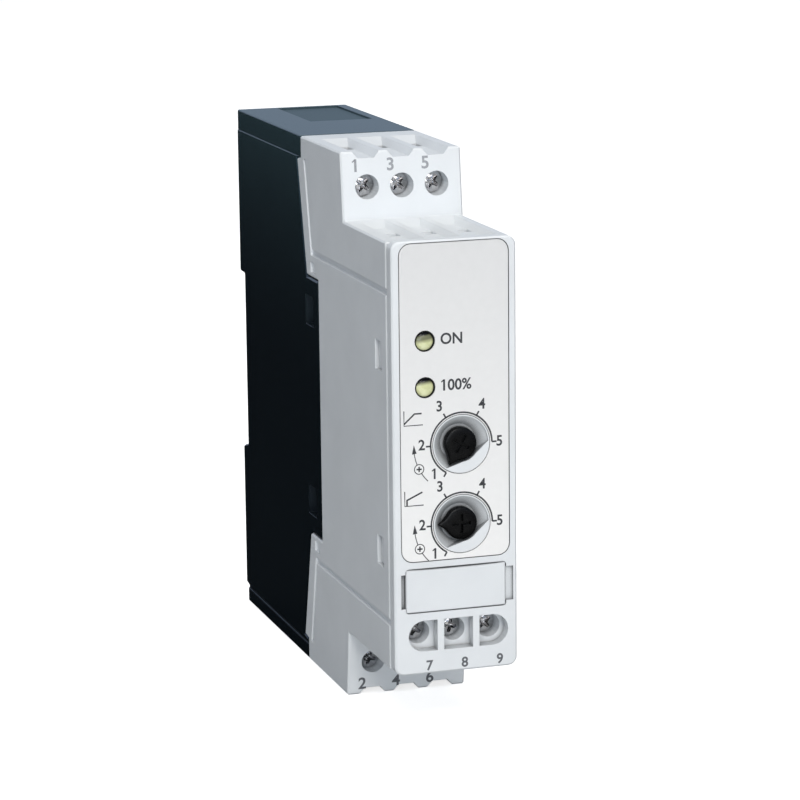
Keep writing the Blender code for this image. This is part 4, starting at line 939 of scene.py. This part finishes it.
@dataclass(frozen=True)
class Screw:
    """A domed terminal screw with a deep cross recess and a thread."""

    head: float
    rim: float
    dome: float
    shank: float
    length: float
    thread: float
    sides: int = 40
    round_off: float = 0.12 * MM
    thread_depth: float = 0.18 * MM
    arm: float = 0.66
    slot: float = 0.15
    corner: float = 1.35
    tapers: tuple[float, float, float] = (1.25, 0.92, 0.35)

    def head_profile(self) -> list[Point]:
        """The turned outline of the head, from the top to the seat.

        Returns:
            Points of radius and place along Y.
        """
        points = [(0.0, -self.rim - self.dome)]
        for step in range(1, 9):
            angle = math.radians(90.0 - 10.5 * step)
            points.append((
                self.head * math.cos(angle), -self.rim - self.dome * math.sin(angle)))
        seat = self.head - self.round_off
        return points + [(self.head, -self.rim), (self.head, -self.round_off), (seat, 0.0)]

    def shank_profile(self) -> list[Point]:
        """The turned outline of the threaded shank.

        Returns:
            Points of radius and place along Y.
        """
        root = self.shank - self.thread_depth
        points = [(root, 0.0)]
        along = 0.5 * self.thread
        while along + self.thread < self.length - 0.3 * MM:
            points += [(root, along), (self.shank, along + 0.5 * self.thread)]
            along += self.thread
        points += [(root, along), (root - 0.2 * MM, self.length), (0.0, self.length)]
        return points

    def mesh(self, name: str, finish: bpy.types.Material) -> bpy.types.Mesh:
        """Makes the mesh that all screws of a row share.

        Args:
            name: The mesh's name.
            finish: Its material.

        Returns:
            The mesh.
        """
        bm = bmesh.new()
        turned(bm, self.head_profile() + self.shank_profile(), self.sides)
        blank = new_object(name, bm, finish)
        reach, slim = self.arm * self.head, self.slot * self.head
        quarter = [(reach, -slim), (reach, slim), (slim * self.corner, slim * self.corner)]
        cross = []
        for _ in range(4):
            cross += quarter
            quarter = [(-b, a) for a, b in quarter]
        depths = (-self.rim - 2.0 * self.dome, -self.rim - 0.35 * self.dome, -0.15 * self.rim)
        cutter_mesh = bmesh.new()
        loft(cutter_mesh, [
            [(a * taper, depth, b * taper) for a, b in cross] for taper, depth in zip(self.tapers, depths)
        ])
        carve(blank, new_object("recess", cutter_mesh, finish))
        mesh = blank.data
        bpy.data.objects.remove(blank)
        return mesh


@dataclass(frozen=True)
class ScrewRow:
    """Three screws of one kind."""

    row: str
    screw: Screw
    x: tuple[float, ...]
    depth: float
    z: float
    turns: tuple[float, ...]

    def build(self, finish: bpy.types.Material) -> None:
        """Puts the screws in the place of the frame's plain ones.

        Args:
            finish: Their material.
        """
        mesh = self.screw.mesh(f"{self.row}_screw_mesh", finish)
        for number, (x, turn) in enumerate(zip(self.x, self.turns), start=1):
            made = bpy.data.objects.new(f"{self.row}_screw_detail_{number}", mesh)
            bpy.context.scene.collection.objects.link(made)
            made.location = (x, FRONT + self.depth, self.z)
            made.rotation_euler = (0.0, math.radians(turn), 0.0)
            bpy.context.view_layer.update()
            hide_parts(f"{self.row}_screw_{number}")
            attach(made, f"{self.row}_screw_{number}_body")


@dataclass(frozen=True)
class Knob:
    """A trimmer knob: a rounded teardrop with a cross slot, on its shaft."""

    name: str
    x: float
    z: float
    angle: float
    radius: float = 2.88 * MM
    tip: float = 4.32 * MM
    flank: float = 32.0
    top: float = 0.15 * MM
    under: float = 1.4 * MM
    tip_under: float = 0.6 * MM
    shaft: float = 1.5 * MM
    shaft_end: float = 6.0 * MM
    blunt: float = 0.12 * MM
    slot_arm: float = 1.75 * MM
    slot_half: float = 0.30 * MM
    slot_depth: float = 0.65 * MM
    rings: tuple[Point, ...] = field(default=((0.90, 0.0), (0.955, 0.05), (0.985, 0.14), (1.0, 0.30)))

    def outline(self) -> list[Point]:
        """The teardrop about its axis.

        Returns:
            Its corners.
        """
        first, last = self.angle + self.flank, self.angle + 360.0 - self.flank
        points = arc((0.0, 0.0), self.radius, first, last, 60)
        tip = math.radians(self.angle)
        waist = 0.90 * (self.radius + self.tip) / 2
        hollow = 0.60 * self.flank
        points.append(polar((0.0, 0.0), waist, last + hollow))
        hub = self.tip - 1.8 * self.blunt
        for i in range(-2, 3):
            turn = tip + i * math.radians(28.0)
            points.append((
                hub * math.cos(tip) + self.blunt * math.cos(turn),
                hub * math.sin(tip) + self.blunt * math.sin(turn)))
        points.append(polar((0.0, 0.0), waist, first - hollow))
        return points

    def build(self, finish: bpy.types.Material) -> None:
        """Puts the knob in the place of the frame's plain one.

        Args:
            finish: Its material.
        """
        outline = self.outline()

        def depth_under(a: float, b: float) -> float:
            """How far back the underside lies at a corner of the outline."""
            reach = max(0.0, (math.hypot(a, b) - self.radius) / (self.tip - self.radius))
            return self.under + (self.tip_under - self.under) * min(1.0, reach)

        bm = bmesh.new()
        rings = [
            [(a * share, self.top + drop * MM, b * share) for a, b in outline]
            for share, drop in self.rings
        ]
        rings.append([(a, depth_under(a, b), b) for a, b in outline])
        loft(bm, rings)
        knob = new_object(f"{self.name}_knob_detail", bm, finish)
        self.cross(knob, finish)
        bm = bmesh.new()
        turned(bm, [
            (0.0, self.under - 0.3 * MM), (self.shaft, self.under - 0.3 * MM),
            (self.shaft, self.shaft_end - 0.2 * MM), (self.shaft - 0.2 * MM, self.shaft_end),
            (0.0, self.shaft_end),
        ], 32)
        shaft = new_object(f"{self.name}_shaft_detail", bm, finish)
        for piece in (knob, shaft):
            piece.location = (self.x, FRONT, self.z)
            bpy.context.view_layer.update()
            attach(piece, f"{self.name}_dial")
        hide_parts(f"{self.name}_knob")

    def cross(self, knob: bpy.types.Object, finish: bpy.types.Material) -> None:
        """Cuts the cross slot, one arm along the pointer.

        Args:
            knob: The knob.
            finish: Its material.
        """
        reach, slim = self.slot_arm, self.slot_half
        for quarter in (0.0, 90.0):
            bm = bmesh.new()
            outline = [(reach, -slim), (reach, slim), (-reach, slim), (-reach, -slim)]
            turn = math.radians(self.angle + quarter)
            spun = [
                (a * math.cos(turn) - b * math.sin(turn), a * math.sin(turn) + b * math.cos(turn))
                for a, b in outline
            ]
            loft(bm, [
                [(a * taper, self.top + depth, b * taper) for a, b in spun]
                for taper, depth in ((1.0, -0.5 * MM), (0.9, self.slot_depth))
            ])
            carve(knob, new_object("slot", bm, finish))


@dataclass(frozen=True)
class Lamp:
    """A round-topped lamp, smoother than the frame's."""

    name: str
    z: float
    x: float = -5.27 * MM
    drop: float = 0.08 * MM
    radius: float = 1.6 * MM
    front: float = 0.15 * MM
    dome: float = 0.5 * MM
    back: float = 5.2 * MM
    leads: float = 0.6 * MM
    board: float = 8.2 * MM
    bore: float = 1.63 * MM
    holder: float = 1.74 * MM
    holder_front: float = 0.2 * MM

    def build(self, finish: bpy.types.Material, black: bpy.types.Material) -> None:
        """Puts the lamp and its holder in the place of the frame's plain ones.

        Args:
            finish: The lens's material.
            black: The holder's material.
        """
        bm = bmesh.new()
        profile = [(0.0, self.front)]
        for step in range(1, 10):
            angle = math.radians(90.0 - 10.0 * step)
            profile.append((
                self.radius * math.cos(angle), self.front + self.dome * (1.0 - math.sin(angle))))
        profile += [
            (self.radius, self.back), (self.leads, self.back), (self.leads, self.board), (0.0, self.board),
        ]
        turned(bm, profile, 40)
        lamp = new_object(f"{self.name}_lamp_detail", bm, finish)
        bm = bmesh.new()
        ends = (self.holder_front, self.board)
        ring = [(self.bore, ends[0]), (self.holder, ends[0]), (self.holder, ends[1]), (self.bore, ends[1])]
        turned(bm, ring + ring[:1], 40)
        bmesh.ops.remove_doubles(bm, verts=bm.verts, dist=0.001 * MM)
        holder = new_object(f"{self.name}_holder_detail", bm, black)
        for piece, node, slot in (
            (lamp, f"{self.name}_lamp", "lamp_lens"), (holder, f"{self.name}_lamp_holder", "black_plastic"),
        ):
            piece.location = (self.x, FRONT, self.z - self.drop)
            bpy.context.view_layer.update()
            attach(piece, "housing")
            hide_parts(node)


@dataclass(frozen=True)
class Spring:
    """The latch's coil spring, between the housing's post and the latch."""

    radius: float = 1.25 * MM
    wire: float = 0.2 * MM
    turns: int = 7
    depth: float = 98.35 * MM
    low: float = 12.63 * MM
    high: float = 25.69 * MM
    travel: float = 3.0 * MM
    steps: int = 26
    sides: int = 8

    def along(self, turn: float) -> float:
        """How far up its axis the wire is after some turns, with flat end turns.

        Args:
            turn: The number of turns from the foot.

        Returns:
            The share of the free length.
        """
        span = self.turns - 2.0
        closed = 2.1 * self.wire / (self.high - self.low - 2.0 * self.wire)
        if turn < 1.0:
            return closed * turn
        if turn > self.turns - 1.0:
            return 1.0 - closed * (self.turns - turn)
        return closed + (1.0 - 2.0 * closed) * (turn - 1.0) / span

    def build(self, finish: bpy.types.Material) -> None:
        """Winds the spring in the place of the frame's plain one.

        Args:
            finish: Its material.
        """
        bm = bmesh.new()
        rings = []
        free = self.high - self.low - 2.0 * self.wire
        for step in range(self.turns * self.steps + 1):
            turn = step / self.steps
            angle = math.tau * turn
            z = self.low + self.wire + free * self.along(turn)
            section = arc((self.radius, z), self.wire, 0.0, 360.0, self.sides)[:-1]
            rings.append([
                (r * math.cos(angle), FRONT + self.depth + r * math.sin(angle), level)
                for r, level in section
            ])
        loft(bm, rings)
        spring = new_object("latch_spring_detail", bm, finish)
        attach(spring, "latch")
        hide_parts("latch_spring")
        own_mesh(spring)


# Studio


@dataclass(frozen=True)
class Camera:
    """The photograph's place and lens."""

    location: tuple[float, float, float] = (-173.1 * MM, -566.3 * MM, 173.6 * MM)
    yaw: float = 17.55
    pitch: float = -11.76
    roll: float = -0.63
    lens: float = 145.55
    sensor: float = 36.0

    def build(self) -> None:
        """Adds the camera and makes it the scene's."""
        data = bpy.data.cameras.new("camera")
        data.lens = self.lens
        data.sensor_width = self.sensor
        data.clip_start = 0.01
        data.clip_end = 20.0
        yaw, pitch, roll = (math.radians(a) for a in (self.yaw, self.pitch, self.roll))
        forward = Vector((
            math.sin(yaw) * math.cos(pitch), math.cos(yaw) * math.cos(pitch), math.sin(pitch)))
        right = Vector((math.cos(yaw), -math.sin(yaw), 0.0))
        up = right.cross(forward)
        across = math.cos(roll) * right + math.sin(roll) * up
        above = -math.sin(roll) * right + math.cos(roll) * up
        turn = Matrix((across, above, -forward)).transposed().to_4x4()
        camera = bpy.data.objects.new("camera", data)
        camera.matrix_world = Matrix.Translation(self.location) @ turn
        bpy.context.scene.collection.objects.link(camera)
        bpy.context.scene.camera = camera


@dataclass(frozen=True)
class Softbox:
    """A large rectangular lamp that looks at the device."""

    name: str
    location: tuple[float, float, float]
    size: Point
    power: float
    colour: Colour = (1.0, 1.0, 1.0)
    target: tuple[float, float, float] = (0.0, 0.0, 0.05)

    def build(self) -> None:
        """Adds the lamp."""
        data = bpy.data.lights.new(self.name, "AREA")
        data.shape = "RECTANGLE"
        data.size, data.size_y = self.size
        data.energy = self.power
        data.color = self.colour
        lamp = bpy.data.objects.new(self.name, data)
        lamp.location = self.location
        aim = Vector(self.target) - Vector(self.location)
        lamp.rotation_euler = aim.to_track_quat("-Z", "Y").to_euler()
        bpy.context.scene.collection.objects.link(lamp)


@dataclass(frozen=True)
class Studio:
    """Pale floor, pale surroundings and soft lamps."""

    ambient: Colour = (0.188, 0.209, 0.236)
    mirrored: Colour = (0.46, 0.55, 0.72)
    floor_size: float = 6.0
    stripes: float = 40.0
    stripes_end: float = -0.12
    lamps: tuple[Softbox, ...] = (
        Softbox("key", (-0.45, -1.3, 1.2), (0.6, 0.6), 11.1, (1.0, 0.965, 0.925)),
        Softbox("top", (0.10, 0.10, 1.5), (0.9, 0.9), 8.2, (1.0, 0.99, 0.94)),
        Softbox("front", (0.10, -1.6, 0.6), (0.8, 0.5), 5.2, (1.0, 0.965, 0.925)),
        Softbox("low", (-0.40, -1.2, 0.06), (0.9, 0.4), 7.2, (0.88, 0.94, 1.0)),
    )

    def build(self) -> None:
        """Adds the surroundings, the floor and the lamps."""
        self.surroundings()
        self.floor()
        for lamp in self.lamps:
            lamp.build()
        bpy.context.scene.view_settings.view_transform = "Standard"

    def surroundings(self) -> None:
        """White to the camera, dimmer to what it lights."""
        graph = Graph("studio", world=True)
        fill, gloss, white = (
            graph.add("ShaderNodeBackground", {}, {"Color": solid(colour)})
            for colour in (self.ambient, self.mirrored, (1.0, 1.0, 1.0)))
        glossy = graph.add("ShaderNodeLightPath", output="Is Glossy Ray")
        path = graph.add("ShaderNodeLightPath", output="Is Camera Ray")
        lit = graph.add("ShaderNodeMixShader", {}, {0: glossy, 1: fill, 2: gloss})
        seen = graph.add("ShaderNodeMixShader", {}, {0: path, 1: lit, 2: white})
        graph.add("ShaderNodeOutputWorld", {}, {"Surface": seen})
        bpy.context.scene.world = graph.owner

    def floor(self) -> None:
        """A pale floor that mirrored rays see dark, with pale bands in front for the bright metal."""
        graph = Graph("floor")
        bm = bmesh.new()
        half = self.floor_size / 2
        corners = ((-half, -half), (half, -half), (half, half), (-half, half))
        bm.faces.new([bm.verts.new((a, b, 0.0)) for a, b in corners])
        path = graph.add("ShaderNodeLightPath", output="Is Camera Ray")
        glossy = graph.add("ShaderNodeLightPath", output="Is Glossy Ray")
        bands = (graph.axis("X") * self.stripes).sine().above(0.0)
        bands = bands * graph.axis("Y").below(self.stripes_end)
        mirror = graph.blend(bands, solid((0.016, 0.020, 0.023)), solid((0.95, 0.95, 0.95)))
        plain = graph.blend(glossy, solid((0.55, 0.55, 0.55)), mirror)
        colour = graph.blend(path, plain, solid((0.92, 0.92, 0.92)))
        diffuse = graph.add("ShaderNodeBsdfDiffuse", {}, {"Color": colour})
        glow = graph.add("ShaderNodeEmission", {}, {"Color": (1.0, 1.0, 1.0, 1.0), "Strength": 0.7})
        lift = graph.add("ShaderNodeAddShader", {}, {0: diffuse, 1: glow})
        surface = graph.add("ShaderNodeMixShader", {}, {0: path, 1: diffuse, 2: lift})
        graph.add("ShaderNodeOutputMaterial", {}, {"Surface": surface})
        floor = new_object("floor", bm, graph.owner)


# The device


class SoftStarter:
    """The finished device round the fixed frame."""

    def __init__(self, frame: dict) -> None:
        """Makes all finishes.
        """
        self.nodes: dict[str, bpy.types.Object] = frame["nodes"]
        self.record: dict = frame["record"]
        self.finishes = {name: finish.build() for name, finish in FINISHES.items()}

    def paint(self) -> None:
        """Gives every node of the frame the finish of its slot."""
        for part in self.record["subparts"]:
            node = self.nodes.get(part["node"])
            if node is None:
                LOG.warning("no node %s", part["node"])
                continue
            node.data.materials.clear()
            # The front cover takes the copy of the pale finish with the stronger painted shade.
            name = "pale_cover_painted_shade" if part["node"] == "front_cover" else part["material_slot"]
            node.data.materials.append(self.finishes[name])

    def screws(self) -> None:
        """The nine terminal screws."""
        power = Screw(2.1 * MM, 0.6 * MM, 0.8 * MM, 1.45 * MM, 7.1 * MM, 0.5 * MM)
        control = Screw(1.95 * MM, 0.6 * MM, 0.7 * MM, 1.2 * MM, 7.1 * MM, 0.45 * MM)
        pitch, shift = 6.5025 * MM, 0.4 * MM
        centred = (-pitch, 0.0, pitch)
        shifted = tuple(x + shift for x in centred)
        for row in (
            ScrewRow("line", power, centred, 32.6 * MM, 93.7 * MM, (38.0, 42.0, 35.0)),
            ScrewRow("load", power, centred, 32.6 * MM, 6.3 * MM, (20.0, 65.0, 48.0)),
            ScrewRow("control", control, shifted, 6.3 * MM, 18.65 * MM, (30.0, 12.0, 50.0)),
        ):
            row.build(self.finishes["screw_zinc"])

    def build(self) -> None:
        """Adds all that the frame leaves to the looks."""
        self.paint()
        self.screws()
        for knob in (
            Knob("start_time", 1.15 * MM, 52.35 * MM, 240.0),
            Knob("initial_voltage", 1.15 * MM, 38.2 * MM, 180.0),
        ):
            knob.build(self.finishes["black_knob"])
        for name, z, lens in (
            ("power", 70.8 * MM, "lamp_lens"), ("full_voltage", 62.7 * MM, "lamp_lens_low"),
        ):
            Lamp(name, z).build(self.finishes[lens], self.finishes["black_plastic"])
        Spring().build(self.finishes["spring_steel"])
        FacePrint().build(self.finishes["dark_ink"])
        TerminalMarks().build(self.finishes["grey_ink"], self.finishes["slate_ink"])


def main() -> None:
    """Builds the looks and the studio."""
    logging.basicConfig(level=logging.INFO)
    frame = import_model()
    SoftStarter(frame).build()
    Studio().build()
    Camera().build()
    bpy.context.view_layer.update()


if __name__ == "__main__":
    main()
